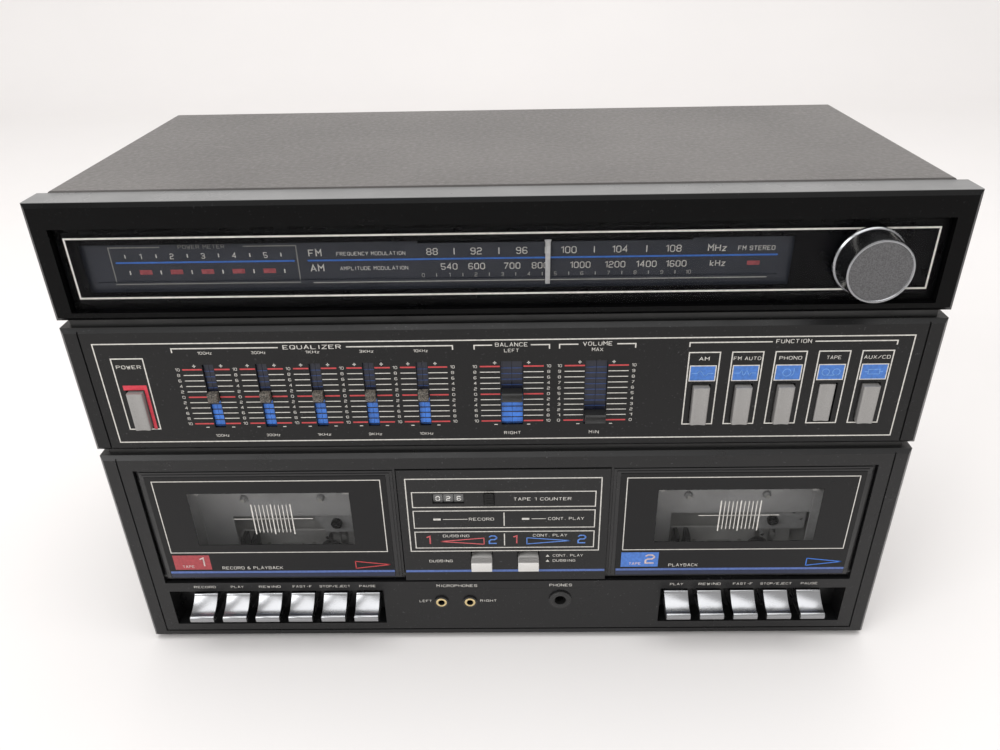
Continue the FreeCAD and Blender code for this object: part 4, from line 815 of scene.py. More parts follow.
class STEREO_OT_dial(Operator):
    """The smoked dial window, its mask, the scales, lamps and pointer"""

    bl_idname = "stereo.dial"
    bl_label = "Dial"

    def execute(self, context):
        skin("dial_window", finish_of("smoked_window"))
        skin("dial_scale", finish_of("scale_board"))
        self.print_window()
        self.mask_window()
        self.print_scales()
        self.make_pointer()
        return {"FINISHED"}

    def print_window(self):
        front = Printing("window_outline", DIAL_FACE, DECK_BASE)
        front.outline((-191.5, 191.5), (213.2, 242.4), finish_of("white_ink"), 0.8)
        front.piece(CABINET, smooth=0)

    def mask_window(self):
        """The black backing of the window leaves the scale clear and lets the shaft through."""
        x, (_, back), z = limits("dial_window")
        left, right = inset(x, 0.3)
        bottom, top = inset(z, 0.3)
        shaft = middle("tuning_knob")
        hole_x, hole_z = around(shaft.x, 4.0), around(shaft.z, 4.0)
        clear = (DECK_BASE + 215.6, DECK_BASE + 238.1)
        mask = Printing("window_mask", back + 2 * INK_THICKNESS, 0.0)
        for across, up in (((left, right), (bottom, clear[0])), ((left, right), (clear[1], top)),
                           ((left, -186.6), clear), ((129.9, hole_x[0]), clear),
                           ((hole_x[1], right), clear), (hole_x, (clear[0], hole_z[0])),
                           (hole_x, (hole_z[1], clear[1]))):
            mask.field(across, up, finish_of("window_mask"))
        mask.piece(CABINET, smooth=0)

    def print_scales(self):
        white, blue, dim, pale, red = (finish_of(name) for name in (
            "scale_ink", "blue_ink", "dim_ink", "pale_ink", "lamp_red"))
        board = Printing("dial_marks", SCALE_FACE_PLATE, DECK_BASE)
        board.bracket((-174.9, -90.1), 236.2, dim, (-151.5, -114.0), 0.5, 16.8)
        board.words("POWER METER", -132.7, 236.2, dim, 1.9, 21.0)
        for number in range(6):
            place = -160.9 + 14.1 * number
            last = number == 5
            board.upright(-97.5 if last else place - 7.0, (231.2, 232.9), white, 0.5)
            board.upright(-96.9 if last else place - 6.4, (223.3, 225.2), white, 0.5)
            if not last:
                board.words(str(number + 1), place, 231.9, white, 2.7)
                board.field((place - 2.0, place + 3.6), (223.3, 225.5), red)
        for across in ((-172.8, -91.8), (-85.8, 124.1)):
            board.level(across, 229.0, blue, 0.75)
        board.lay(white, ("FM", -85.2, 232.5, 3.4, 6.0, "LEFT"), ("AM", -85.2, 225.3, 3.4, 6.4, "LEFT"),
                  ("FREQUENCY MODULATION", -72.7, 232.0, 1.8, 31.0, "LEFT"),
                  ("AMPLITUDE MODULATION", -71.7, 225.0, 1.8, 30.8, "LEFT"),
                  ("MHz", 97.0, 232.5, 3.2, 8.3), ("kHz", 97.9, 225.3, 3.0, 6.9),
                  ("FM STEREO", 114.4, 232.2, 2.2, 16.4))
        self.print_frequencies(board, white)
        board.field((111.0, 116.6), (224.2, 226.2), red)
        for number in range(11):
            board.words(str(number), -34.3 + 11.95 * number, 221.3, pale, 1.9)
            if number < 10:
                board.upright(-28.3 + 11.95 * number, (220.5, 222.1), pale, 0.4)
        # Lines along the scale's lower ledge: the dim one closes the meter's printed frame; the long
        # pale one is a painted highlight where the ledge catches the light.
        ledge = Printing("dial_ledge_print_and_highlight", low("dial_scale").y, DECK_BASE)
        ledge.level((-174.9, -90.1), 218.9, dim, 0.5)
        ledge.level((-84.4, 120.5), 218.6, pale, 0.45)
        ledge.piece(CABINET, smooth=0)
        board.piece(CABINET, smooth=0)

    def print_frequencies(self, board, white):
        fm_places = list(FM_MARKS.values())
        for text, place in FM_MARKS.items():
            board.words(text, place, 232.5, white, 3.3)
        for first, second in zip(fm_places, fm_places[1:]):
            board.upright((first + second) / 2, (231.0, 234.0), white, 0.45)
        for text, place in AM_MARKS.items():
            board.words(text, place, 225.3, white, 3.1)

    def make_pointer(self):
        """A pale T-shaped needle on a carriage that runs on the dial's rod."""
        x, (front, back), (bottom, top) = limits("dial_pointer")
        centre = (x[0] + x[1]) / 2
        black = finish_of("black_cap_plastic")
        needle = Shape("pointer_needle")
        half = [(1.05, bottom - 1.6), (1.15, top - 3.6), (2.3, top - 1.0)]
        outline = [(centre - half[0][0], half[0][1]), *((centre + reach, up) for reach, up in half),
                   *((centre - reach, up) for reach, up in half[:0:-1])]
        needle.prism(outline, front, front + 0.7, "y", finish_of("pointer_plastic"), 0.12)
        needle.block(x, (back - 4.0, back), (top - 6.5, top), black, 0.4)
        needle.block(around(centre, 1.5), (front + 0.6, back - 3.0), (top - 5.0, top - 1.4), black,
                     0.2)
        needle.piece("dial_pointer", "pointer_plastic", ("dial_pointer",))


SCALE_FACE_PLATE = low("dial_scale").y + 0.6


class STEREO_OT_tuning_knob(Operator):
    """The bright tuning knob with its skirt and grained face"""

    bl_idname = "stereo.tuning_knob"
    bl_label = "Tuning knob"

    def execute(self, context):
        (left, right), (front, back), _ = limits("tuning_knob")
        centre = middle("tuning_knob")
        skirt = (right - left) / 2
        face = skirt - 1.5
        rear = DIAL_FACE - 0.25
        deep = rear - front
        knob = Shape("tuning_knob_cap")
        outline = [
            (0.0, deep - 0.55), (face - 1.6, deep - 0.55),
            (face - 1.25, deep - 0.5), (face - 1.0, deep - 0.1),
            (face - 0.6, deep), (face - 0.15, deep - 0.25),
            (face, deep - 0.8), (face, deep - 1.6), (face + 0.7, 3.0),
            (face + 0.75, 2.6), (skirt - 0.35, 2.3),
            (skirt, 1.9), (skirt, 0.4), (skirt - 0.4, 0.0),
            (3.4, 0.0), (0.0, 0.0),
        ]
        origin = Vector((centre.x, rear, centre.z))
        skin_faces = knob.turned(outline, origin, (0, -1, 0), finish_of("chrome_plating"), 128)
        ahead = [(spot, spot.calc_center_median() - origin) for spot in skin_faces]
        knob.paint([spot for spot, way in ahead
                    if -way.y > deep - 0.6 and math.hypot(way.x, way.z) < face - 1.2],
                   finish_of("satin_face"))
        knob.rod((centre.x, rear, centre.z), (centre.x, back, centre.z), 3.0,
                 finish_of("plated_steel"))
        for step in range(48):
            turn = math.radians(360 * step / 48)
            direction = Vector((math.cos(turn), 0, math.sin(turn)))
            start = Vector((centre.x, rear - 0.7, centre.z)) + direction * (skirt - 0.1)
            knob.rod(start + Vector((0, 0.4, 0)), start - Vector((0, 0.7, 0)),
                     0.25, finish_of("chrome_plating"), steps=8)
        knob.piece("tuning_knob", "bright_knob", ("tuning_knob",), smooth=28.0)
        return {"FINISHED"}


# ---------------------------------------------------------------- equaliser


BANDS = {"100hz": "100Hz", "300hz": "300Hz", "1khz": "1KHz", "3khz": "3KHz", "10khz": "10KHz"}
SCALE_TOP = 177.3
SCALE_STEP = 3.04


WIDE_SLIDERS = ("balance", "volume")
SLIDERS = (*("band_" + band for band in BANDS), *WIDE_SLIDERS)
TRAY_GAP = 0.08


def slot_middle(name):
    return middle(name + "_slider").x


class STEREO_OT_equaliser_print(Operator):
    """Printed scales, brackets and words around the slide controls"""

    bl_idname = "stereo.equaliser_print"
    bl_label = "Equaliser print"

    def execute(self, context):
        white = finish_of("white_ink")
        face = Printing("equaliser_print", FRONT, DECK_BASE)
        face.outline((-191.3, 191.3), (136.1, 191.6), white)
        face.outline((-184.5, -168.7), (143.8, 183.8), white)
        face.words("POWER", -176.6, 179.0, white, 1.95, 12.0)
        places = [slot_middle("band_" + band) for band in BANDS]
        half_pitch = (places[1] - places[0]) / 2
        for place, word in zip(places, BANDS.values()):
            face.words(word, place, 186.1, white, 1.5, 6.8)
            face.words(word, place, 139.9, white, 1.5, 6.8)
            self.signs(face, place, 6.4)
        columns = [place - half_pitch for place in places] + [places[-1] + half_pitch]
        columns[0] -= 2.0
        columns[-1] += 1.8
        self.scale(face, columns, places, 3.0, "even")
        face.bracket((-154.6, -22.0), 188.6, white, (-104.0, -72.0), drop=2.2)
        face.words("EQUALIZER", -88.0, 188.7, white, 2.2, 27.5)
        self.wide_control(face, "balance", (-12.5, 23.2), "even", "BALANCE", "LEFT", "RIGHT")
        self.wide_control(face, "volume", (27.3, 63.2), "rising", "VOLUME", "MAX", "MIN")
        face.piece(CABINET, smooth=0)
        return {"FINISHED"}

    def signs(self, face, place, reach):
        white = finish_of("white_ink")
        for side in (-reach, reach):
            face.level((place + side - 0.8, place + side + 0.8), 179.2, white, 0.4)
            face.upright(place + side, (178.4, 180.0), white, 0.4)
            face.level((place + side - 0.8, place + side + 0.8), 144.8, white, 0.4)

    def scale(self, face, columns, slots, half_slot, kind):
        """Eleven lines run between the columns of numbers and stop at the slots."""
        white = finish_of("white_ink")
        for row in range(11):
            height = SCALE_TOP - SCALE_STEP * row
            number = abs(10 - 2 * row) if kind == "even" else 10 - row
            red = row in (0, 10) or (row == 5 and kind == "even")
            line_ink = finish_of("red_ink") if red else white
            for column in columns:
                face.words(str(number), column, height, white, 1.6, 2.2 if number == 10 else 1.45)
            for slot in slots:
                before = max(column for column in columns if column < slot)
                after = min(column for column in columns if column > slot)
                width = 0.75 if red else 0.4
                face.level((before + 2.4, slot - half_slot), height, line_ink, width)
                face.level((slot + half_slot, after - 2.4), height, line_ink, width)

    def wide_control(self, face, name, reach, kind, title, upper, lower):
        white = finish_of("white_ink")
        place = slot_middle(name)
        face.bracket(reach, 188.6, white, (place - 9.0, place + 9.0), drop=2.2)
        face.words(title, place, 188.8, white, 2.1, 15.3 if name == "balance" else 13.8)
        face.words(upper, place, 185.7, white, 1.8, 1.7 * len(upper) + 0.2)
        face.words(lower, place, 139.9, white, 1.8, 1.7 * len(lower) - 0.2)
        self.signs(face, place, 8.0)
        self.scale(face, [place - 17.5, place + 17.5], [place], 5.6, kind)


class STEREO_OT_slot_trays(Operator):
    """The coloured trays behind the slide controls: blue below a cap's rest height and navy above it,
    the navy partly painted shade from the slot's top edge
    """

    bl_idname = "stereo.slot_trays"
    bl_label = "Slot trays"

    def execute(self, context):
        navy_and_shade, blue = finish_of("navy_tray_and_shade"), finish_of("blue_tray_plastic")
        skin("slot_liners", navy_and_shade)
        _, (_, back), z = limits("slot_liners")
        low_z, high_z = inset(z, 2.1)
        trays = Printing("slot_colours_and_shade", FRONT + 1.35, 0.0)
        depth = (FRONT + 1.4, back - 2.1)
        for name in SLIDERS:
            half = 5.15 if name in WIDE_SLIDERS else 2.6
            place = slot_middle(name)
            # Above the cap's rest height the tray is navy: partly a two-tone strip, partly painted
            # shade cast by the slot's top edge; the volume tray is navy all through.
            dark = name == "volume"
            split = low_z if dark else middle(name + "_slider").z
            for side in (-1, 1):
                across = sorted((place + side * TRAY_GAP, place + side * half))
                if not dark:
                    trays.block(across, depth, (low_z, split), blue)
                trays.block(across, depth, (split, high_z), navy_and_shade)
                for row in range(11):
                    height = DECK_BASE + SCALE_TOP - SCALE_STEP * row - 1.6
                    if low_z < height < high_z - 1.0:
                        shade = finish_of("blue_line_ink") if height > split else navy_and_shade
                        trays.field(across, around(height, 0.25), shade, 0.05)
        trays.piece(CABINET, "slot_plastic", smooth=0)
        return {"FINISHED"}


class STEREO_OT_slider_caps(Operator):
    """Ribbed caps of the slide controls on their stems"""

    bl_idname = "stereo.slider_caps"
    bl_label = "Slider caps"

    def execute(self, context):
        for name in SLIDERS:
            wide = name in WIDE_SLIDERS
            plastic = finish_of("black_cap_plastic" if wide else "dusty_cap_plastic")
            x, (front, _), z = limits(name + "_slider")
            cap = Shape(name + "_cap")
            self.ribbed_cap(cap, x, front, z, plastic)
            cap.block(around(sum(x) / 2, 1.5), (FRONT + 0.4, FRONT + 1.15), around(sum(z) / 2, 1.5),
                      plastic, 0.1)
            cap.piece(name + "_slider", "cap_black" if wide else "cap_grey", (name + "_slider",))
        return {"FINISHED"}

    def ribbed_cap(self, cap, across, front, up, plastic):
        """A wedge with a hollow finger rest and fine ribs, extruded across its width."""
        bottom, top = up
        root = FRONT + 1.1
        outline = [(root, bottom), (front + 0.9, bottom), (front + 0.1, bottom + 0.5)]
        ribs = 5
        step = (top - bottom - 1.0) / ribs
        for rib in range(ribs):
            start = bottom + 0.5 + step * rib
            hollow = front + 0.45 * math.sin(math.pi * (rib + 0.5) / ribs)
            outline += [(hollow, start + step * 0.1), (hollow, start + step * 0.45),
                        (hollow + 0.28, start + step * 0.6), (hollow + 0.28, start + step * 0.9)]
        outline += [(front + 0.1, top - 0.5), (front + 0.9, top), (root, top)]
        cap.prism(outline, across[0], across[1], "x", plastic, 0.08, 1)


class STEREO_OT_push_buttons(Operator):
    """Silver push buttons with the fields and frames printed around them"""

    bl_idname = "stereo.push_buttons"
    bl_label = "Push buttons"

    def execute(self, context):
        for name in ("power", "am", "fm", "phono", "tape", "aux"):
            self.make_button(name)
        self.print_functions()
        self.make_power_surround()
        return {"FINISHED"}

    def make_button(self, name):
        """A bar with a slightly hollow front, rounded all round."""
        (left, right), (front, back), (bottom, top) = limits(name + "_button")
        front += 3.7 if front < FRONT - 5.0 else 2.4
        button = Shape(name + "_button_cap")
        outline = [(left, front + 12.0), (left, front + 0.5), (left + 0.4, front + 0.1),
                   (left + 1.1, front)]
        for step in range(1, 8):
            share = step / 8
            hollow = 0.35 * math.sin(math.pi * share)
            outline.append((left + 1.1 + (right - left - 2.2) * share, front + hollow))
        outline += [(right - 1.1, front), (right - 0.4, front + 0.1), (right, front + 0.5),
                    (right, front + 12.0)]
        button.prism(outline, bottom, top, "z", finish_of("silver_paint"), 0.12, 2)
        button.block(around((left + right) / 2, 1.5), (front + 11.5, back),
                     around((bottom + top) / 2, 2.0), finish_of("black_cap_plastic"), 0.3)
        button.piece(name + "_button", "silver_plastic", (name + "_button",))

    def print_functions(self):
        white = finish_of("white_ink")
        face = Printing("function_print", FRONT, DECK_BASE)
        face.bracket((87.7, 183.8), 188.7, white, (126.0, 145.6), drop=2.2)
        face.words("FUNCTION", 135.8, 188.9, white, 2.1, 16.4)
        words = {"am": ("AM", 5.0), "fm": ("FM AUTO", 12.8), "phono": ("PHONO", 10.6),
                 "tape": ("TAPE", 6.9), "aux": ("AUX/CD", 12.3)}
        for name, (word, wide) in words.items():
            place = middle(name + "_button").x
            face.outline(around(place, 7.5), (143.7, 183.8), white)
            face.words(word, place, 180.1, white, 1.9, wide)
            face.field(around(place, 6.3), (168.0, 176.6), white)
            face.field(around(place, 5.8), (168.5, 176.1), finish_of("blue_field_ink"), 0.03)
            self.icon(face, name, place, 172.3)
        face.piece(CABINET, smooth=0)

    def icon(self, face, name, x, z):
        """Thin signs for a wave, a tuned wave, a disc, a tape and a socket."""
        pale = finish_of("sign_ink")
        face.face -= 0.07
        if name in ("am", "fm"):
            points = []
            waves = 1 if name == "am" else 2
            for step in range(17):
                share = step / 16
                points.append((x - 2.6 + 5.2 * share, z + 1.3 * math.sin(share * waves * 2 * math.pi)))
            face.stroke([(x - 5.0, z), *points, (x + 5.0, z)], pale, 0.3)
        elif name == "phono":
            face.ring(x - 0.6, z, 1.9, pale, 0.3)
            face.stroke([(x + 2.6, z + 2.2), (x + 2.6, z - 0.6), (x + 1.6, z - 1.8)], pale, 0.3)
        elif name == "tape":
            face.ring(x - 2.5, z, 1.7, pale, 0.3)
            face.ring(x + 2.5, z, 1.7, pale, 0.3)
            face.level((x - 2.5, x + 2.5), z - 1.7, pale, 0.3)
        else:
            face.outline((x - 2.8, x + 2.8), (z - 1.4, z + 1.4), pale, 0.3)
            face.level((x - 4.3, x - 2.8), z, pale, 0.3)
            face.level((x + 2.8, x + 4.3), z, pale, 0.3)
        face.face += 0.07

    def make_power_surround(self):
        """A red corner strip beside and above the power button's slot."""
        x, _, z = limits("power_button")
        left, right = inset(x, -0.65)
        bottom, top = inset(z, -0.9)
        face = Printing("power_surround", FRONT, 0.0)
        red = finish_of("red_field_ink")
        face.field((left - 1.0, right + 1.6), (top, top + 2.6), red)
        face.field((right, right + 1.6), (bottom, top), red)
        face.piece(CABINET, smooth=0)


# ---------------------------------------------------------------- cassette doors


DECKS = ("deck_1", "deck_2")
DOOR_PIN_REACH = 3.8
PANE_THICKNESS = 0.35


class STEREO_OT_doors(Operator):
    """Cassette doors: stepped frames, black panes with a clear window, holders and labels"""

    bl_idname = "stereo.doors"
    bl_label = "Cassette doors"

    def execute(self, context):
        for deck in DECKS:
            self.make_frame(deck)
            self.make_window(deck)
            self.print_door(deck)
        return {"FINISHED"}

    def sides(self, deck):
        (left, right), (front, back), (bottom, top) = limits(deck + "_door")
        return (left + DOOR_PIN_REACH, right - DOOR_PIN_REACH), (front, back), (bottom, top)

    def ring(self, shape, x, y, z, width, material, round_by):
        """A rectangular rim of four bars."""
        between = (z[0] + width - round_by, z[1] - width + round_by)
        for up in ((z[0], z[0] + width), (z[1] - width, z[1])):
            shape.block(x, y, up, material, round_by)
        for across in ((x[0], x[0] + width), (x[1] - width, x[1])):
            shape.block(across, y, between, material, round_by)

    def holed(self, shape, x, z, hole_x, hole_z, y, material):
        """A flat plate with a rectangular hole, as four bars."""
        for across in ((x[0], hole_x[0]), (hole_x[1], x[1])):
            shape.block(across, y, z, material)
        for up in ((z[0], hole_z[0]), (hole_z[1], z[1])):
            shape.block(hole_x, y, up, material)

    def make_frame(self, deck):
        x, (front, back), z = self.sides(deck)
        plastic = finish_of("door_plastic")
        frame = Shape(deck + "_door_frame")
        spare_left, spare_right = (1.7, 2.6) if deck == "deck_1" else (2.6, 1.7)
        rim_x = (x[0] - spare_left, x[1] + spare_right)
        rim_z = (z[0], z[1] + 1.2)
        for step, rise, deep in ((0.0, 1.5, 3.4), (1.4, 0.8, 1.6), (2.9, 0.3, 1.6)):
            self.ring(frame, inset(rim_x, step), (front + rise, front + deep),
                      inset(rim_z, step * 0.8), 6.0 - step, plastic, 0.3)
        window_x, window_z = self.window(deck)
        self.holed(frame, inset(x, 2.4), inset(z, 2.4), window_x, window_z,
                   (front, front + PANE_THICKNESS), finish_of("pane_black"))
        self.holed(frame, inset(x, 3.0), inset(z, 3.0), inset(window_x, -6.5),
                   inset(window_z, -5.0), (front + 1.6, front + 3.4), plastic)
        self.make_holder(frame, x, (front, back), z, plastic)
        hinge = (front + 2.0, z[0] + 2.5)
        for start in (x[0] - 3.7, x[1] - 1.5):
            frame.rod((start, *hinge), (start + 5.2, *hinge), 0.95,
                      finish_of("black_cap_plastic"), steps=16)
        frame.piece(deck + "_door", "door_plastic", (deck + "_door",), smooth=25.0)

    def make_holder(self, frame, x, y, z, plastic):
        """Side channels and ledges that take a cassette behind the door."""
        centre = (x[0] + x[1]) / 2
        front, back = y
        low_z = DECK_BASE + 49.0
        pale = finish_of("holder_grey")
        steel = finish_of("plated_steel")
        for side in (-1, 1):
            for inner, outer, deep, up, material, round_by in (
                    (50.7, 52.2, (front + 3.3, back - 1.2), (low_z, low_z + 51.5), pale, 0.2),
                    (45.7, 52.2, (back - 1.2, back), (low_z, low_z + 51.5), pale, 0.2),
                    (31.0, 52.2, (front + 3.3, back), (low_z, low_z + 1.5), plastic, 0.2),
                    (38.0, 43.0, (front + 3.5, front + 3.9), (z[1] - 17, z[1] - 4.5), steel, 0.1)):
                across = sorted((centre + side * inner, centre + side * outer))
                frame.block(across, deep, up, material, round_by, 1)

    def window(self, deck):
        x, _, z = self.sides(deck)
        centre = (x[0] + x[1]) / 2
        return around(centre, 42.4), (z[0] + 25.7, z[0] + 60.3)

    def make_window(self, deck):
        _, (front, _), _ = self.sides(deck)
        window_x, window_z = self.window(deck)
        pane = Shape(deck + "_window")
        pane.block(window_x, (front, front + PANE_THICKNESS), window_z, finish_of("clear_pane"))
        pane.piece(deck + "_door", "smoked_window")

    def print_door(self, deck):
        white, fine = finish_of("white_ink"), finish_of("window_ink")
        x, _, _ = self.sides(deck)
        left, right = x
        first = deck == "deck_1"
        face = Printing(deck + "_door_print", FRONT, DECK_BASE)
        face.outline((left + 5.6, right - 5.2), (63.4, 111.8), white, 0.5)
        band = (left + 2.8, right - 2.6)
        face.level(band, 49.6, finish_of("bright_blue_ink"), 1.5)
        face.field(band, (46.0, 48.6), finish_of("dark_blue_ink"))
        label = left + (5.9 if first else 5.4)
        face.field((label, label + 20.2), (51.6, 61.8),
                   finish_of("soft_red_ink" if first else "soft_blue_ink"))
        face.face -= 0.05
        number = ("1", label + 15.6, 57.0, 6.6, 3.0) if first else ("2", label + 15.6, 57.0, 6.6, 5.6)
        face.lay(finish_of("label_ink"), ("TAPE", label + 7.6, 53.8, 1.8, 6.6), number)
        face.face += 0.05
        title = ("RECORD & PLAYBACK", 33.6) if first else ("PLAYBACK", 16.0)
        face.words(title[0], label + 26.0, 52.6, white, 2.1, title[1], "LEFT")
        tail = right - 23.6
        face.stroke([(tail, 51.8), (tail, 56.8), (right - 4.6, 54.3), (tail, 51.8)],
                    finish_of("red_ink" if first else "blue_ink"), 0.55)
        centre = left + 64.8
        for mark in range(11):
            place = centre - 9.5 + 2.06 * mark - (0.4 if first else 0.0)
            height, width = ((76.4, 96.4), 0.62) if mark % 5 == 0 else ((77.6, 96.0), 0.42)
            face.upright(place, height, fine, width)
        face.level((centre - 20.6, centre + 21.6), 86.8, fine, 0.35)
        face.piece(deck + "_door", smooth=0)


# ---------------------------------------------------------------- tape mechanism


def pierced_plate(shape, corners, y, holes, material):
    """A flat plate with round holes, filled between its outline and the holes."""
    curve = flat_curve("plate", "BOTH")
    curve.extrude = (y[1] - y[0]) / 2
    add_line(curve, corners, closed=True)
    turns = [2 * math.pi * number / 48 for number in range(48)]
    for across, up, radius in holes:
        add_line(curve, [(across + radius * math.cos(turn), up + radius * math.sin(turn))
                         for turn in turns], closed=True)
    fresh = shape.take_curve(curve)
    bmesh.ops.translate(shape.mesh, vec=(0, (y[0] + y[1]) / 2, 0), verts=fresh)
    shape.paint(shape.faces_of(fresh), material)


class STEREO_OT_mechanism(Operator):
    """Reels, flywheel, heads and pinch roller of each deck"""

    bl_idname = "stereo.mechanism"
    bl_label = "Tape mechanism"

    def execute(self, context):
        for deck in DECKS:
            skin(deck + "_chassis", finish_of("deck_metal"))
            skin(deck + "_flywheel", finish_of("head_metal"))
            for side in ("supply", "takeup"):
                self.make_reel(deck, side)
            self.make_bridge(deck)
            self.make_cover_plate(deck)
        return {"FINISHED"}

    def make_cover_plate(self, deck):
        """The pressed plate over the reel tables, with screws, and a tab with a black disc that stands
        for a hole as painted shade.
        """
        reels = [middle(f"{deck}_{side}_reel") for side in ("supply", "takeup")]
        centre = (reels[0].x + reels[1].x) / 2
        near = FRONT + 19.3

        def points(*pairs):
            return [(centre + across, DECK_BASE + up) for across, up in pairs]

        steel, screw = finish_of("cover_plate_metal"), finish_of("screw_steel")
        plate = Shape(deck + "_cover_plate")
        corners = points((-56.0, 48.0), (-29.5, 48.0), (-29.5, 73.0), (56.0, 73.0), (56.0, 116.0),
                         (-56.0, 116.0))
        pierced_plate(plate, corners, (near, near + 0.8), [(reel.x, reel.z, 2.3) for reel in reels],
                      steel)
        tab = points((13.0, 74.0), (21.0, 59.3), (46.0, 59.3), (46.0, 74.0))
        small = [(*place, 0.9) for place in points((39.0, 71.0), (44.0, 66.0))]
        pierced_plate(plate, tab, (near + 2.3, near + 3.1), small, finish_of("holder_grey"))
        (across, up), = points((27.6, 66.3))
        # Painted shade: a black disc in place of the dark opening of a hole in the tab.
        plate.rod((across, near + 0.4, up), (across, near + 2.4, up), 3.1,
                  finish_of("black_cap_plastic"), steps=40)
        plate.rod((across, near - 0.6, up - 1.2), (across, near + 0.5, up - 1.2), 1.3, screw,
                  steps=24)
        for across, up in points((-52.0, 110.0), (52.0, 110.0)):
            plate.rod((across, near - 0.8, up), (across, near, up), 2.2, screw, steps=28)
            plate.rod((across, near + 0.7, up), (across, FRONT + 28.0, up), 1.6, steel, steps=16)
        plate.piece(CABINET, "plated_steel")

    def make_reel(self, deck, side):
        """A reel table with a slotted hub and three ribs, under a small cap."""
        node = f"{deck}_{side}_reel"
        (left, right), (front, back), _ = limits(node)
        centre = middle(node)
        radius = (right - left) / 2
        white = finish_of("holder_grey")
        reel = Shape(node + "_hub")
        deep = back - front
        outline = [
            (1.1, 0.0), (radius, 0.0), (radius, 1.1), (radius - 0.6, 1.6),
            (radius - 2.2, 1.6), (radius - 2.6, 2.4), (4.4, 2.8),
            (3.1, 3.2), (3.1, deep - 3.6), (2.0, deep - 3.2),
            (2.0, deep - 1.0), (1.2, deep), (1.1, deep), (1.1, 0.0),
        ]
        reel.turned(outline, (centre.x, back, centre.z), (0, -1, 0), white, 64)
        for number in range(3):
            turn = math.radians(120 * number)
            direction = Vector((math.sin(turn), 0, math.cos(turn)))
            root = Vector((centre.x, back - 3.0, centre.z)) + direction * 3.2
            tip = Vector((centre.x, front + 3.5, centre.z)) + direction * 3.0
            reel.rod(root, tip, 0.85, white, 0.7, 12)
        reel.rod((centre.x, front + 1.0, centre.z), (centre.x, front - 0.4, centre.z), 1.5,
                 finish_of("nylon"), 1.1, 24)
        reel.piece(node, "spindle_plastic", (node,))

    def make_bridge(self, deck):
        """The sliding plate with the heads, tape guides, pinch arm and roller."""
        node = deck + "_head_bridge"
        (left, right), (front, back), (_, top) = limits(node)
        centre = (left + right) / 2
        steel, black, head = (finish_of(name) for name in
                              ("deck_metal", "black_cap_plastic", "head_metal"))
        bridge = Shape(deck + "_heads")
        near = back - 1.6
        low_z = top - 14.0
        whole = 14.0
        ends = (left, centre - 32.0, centre - 28.0, centre + 20.4, centre + 23.6, centre + 28.0,
                centre + 32.0, right)
        for start, end, tall in zip(ends, ends[1:], (whole, 2.0, whole, 4.8, whole, 2.0, whole)):
            bridge.block((start, end), (near, back), (low_z, low_z + tall), steel,
                         0.3 if tall == whole else 0.0, 1)
        bridge.block(around(centre, 6.5), (front, near), (low_z - 0.8, low_z + 5.0), head, 0.9, 3)
        bridge.block(around(centre, 7.4), (front + 3.5, near), (low_z - 0.9, low_z + 3.2), head,
                     0.3, 1)
        for offset in (-25.5, -19.5):
            bridge.block(around(centre + offset, 1.3), (front + 2.0, near), (low_z + 2.5, top),
                         black, 0.4, 2)
        for offset in (-14.0, 12.0):
            place = centre + offset
            bridge.rod((place, front + 2.0, low_z + 4.0), (place, near, low_z + 4.0), 1.1, head,
                       steps=20)
        roller_z = DECK_BASE + 46.2
        place = centre + 22.0
        for start, end, radius, material, steps in ((5.6, 0.6, 6.0, black, 48),
                                                    (6.4, 5.6, 1.6, head, 24)):
            bridge.rod((place, near - start, roller_z), (place, near - end, roller_z), radius,
                       material, steps=steps)
        bridge.block(around(place, 2.0), (near - 0.6, near), (roller_z - 4.0, low_z + 4.0), steel,
                     0.2, 1)
        bridge.piece(node, "plated_steel", (node,))


# ---------------------------------------------------------------- piano keys


class STEREO_OT_keys(Operator):
    """Bright hollow-faced keys on steel levers, with the words above them"""

    bl_idname = "stereo.keys"
    bl_label = "Piano keys"

    def execute(self, context):
        words = {"record": ("RECORD", 12.2), "play": ("PLAY", 7.3), "rewind": ("REWIND", 12.2),
                 "fast_forward": ("FAST-F", 10.8), "stop_eject": ("STOP/EJECT", 17.2),
                 "pause": ("PAUSE", 9.2)}
        labels = Printing("key_words", FRONT, DECK_BASE)
        for deck in DECKS:
            for name, (word, wide) in words.items():
                node = f"{deck}_{name}_key"
                if node not in frame["nodes"]:
                    continue
                self.make_key(node)
                place = middle(node).x
                labels.words(word, place, 38.6, finish_of("white_ink"), 1.65, wide)
        labels.piece(CABINET, smooth=0)
        return {"FINISHED"}

    def make_key(self, node):
        """A hollow-faced cap with a rolled lip, on its lever."""
        (left, right), (_, back), (bottom, top) = limits(node)
        key = Shape(node + "_cap")
        root = FRONT + 10.8
        outline = [(root, top - 0.3), (FRONT + 0.4, top), (FRONT - 0.5, top - 0.1),
                   (FRONT - 1.0, top - 0.5), (FRONT - 1.2, top - 1.0)]
        for step in range(1, 13):
            share = step / 12
            rise = 27.9 + 5.3 * (1.0 - share) ** 1.7
            outline.append((FRONT - 1.2 - 9.7 * share, DECK_BASE + rise))
        lip = ((11.6, 27.8), (12.3, 27.3), (12.7, 26.4), (12.75, 24.9), (12.3, 24.2), (11.5, 23.9),
               (4.0, 24.1))
        outline += [(FRONT - reach, DECK_BASE + rise) for reach, rise in lip]
        outline.append((root, bottom + 0.1))
        key.prism(outline, left, right, "x", finish_of("chrome_plating"), 0.22, 2)
        key.block(around((left + right) / 2, 2.9), (root - 0.2, back), (bottom + 0.1, bottom + 5.9),
                  finish_of("plated_steel"), 0.3, 1)
        key.piece(node, "bright_key", (node,), smooth=28.0)


# ---------------------------------------------------------------- centre panel


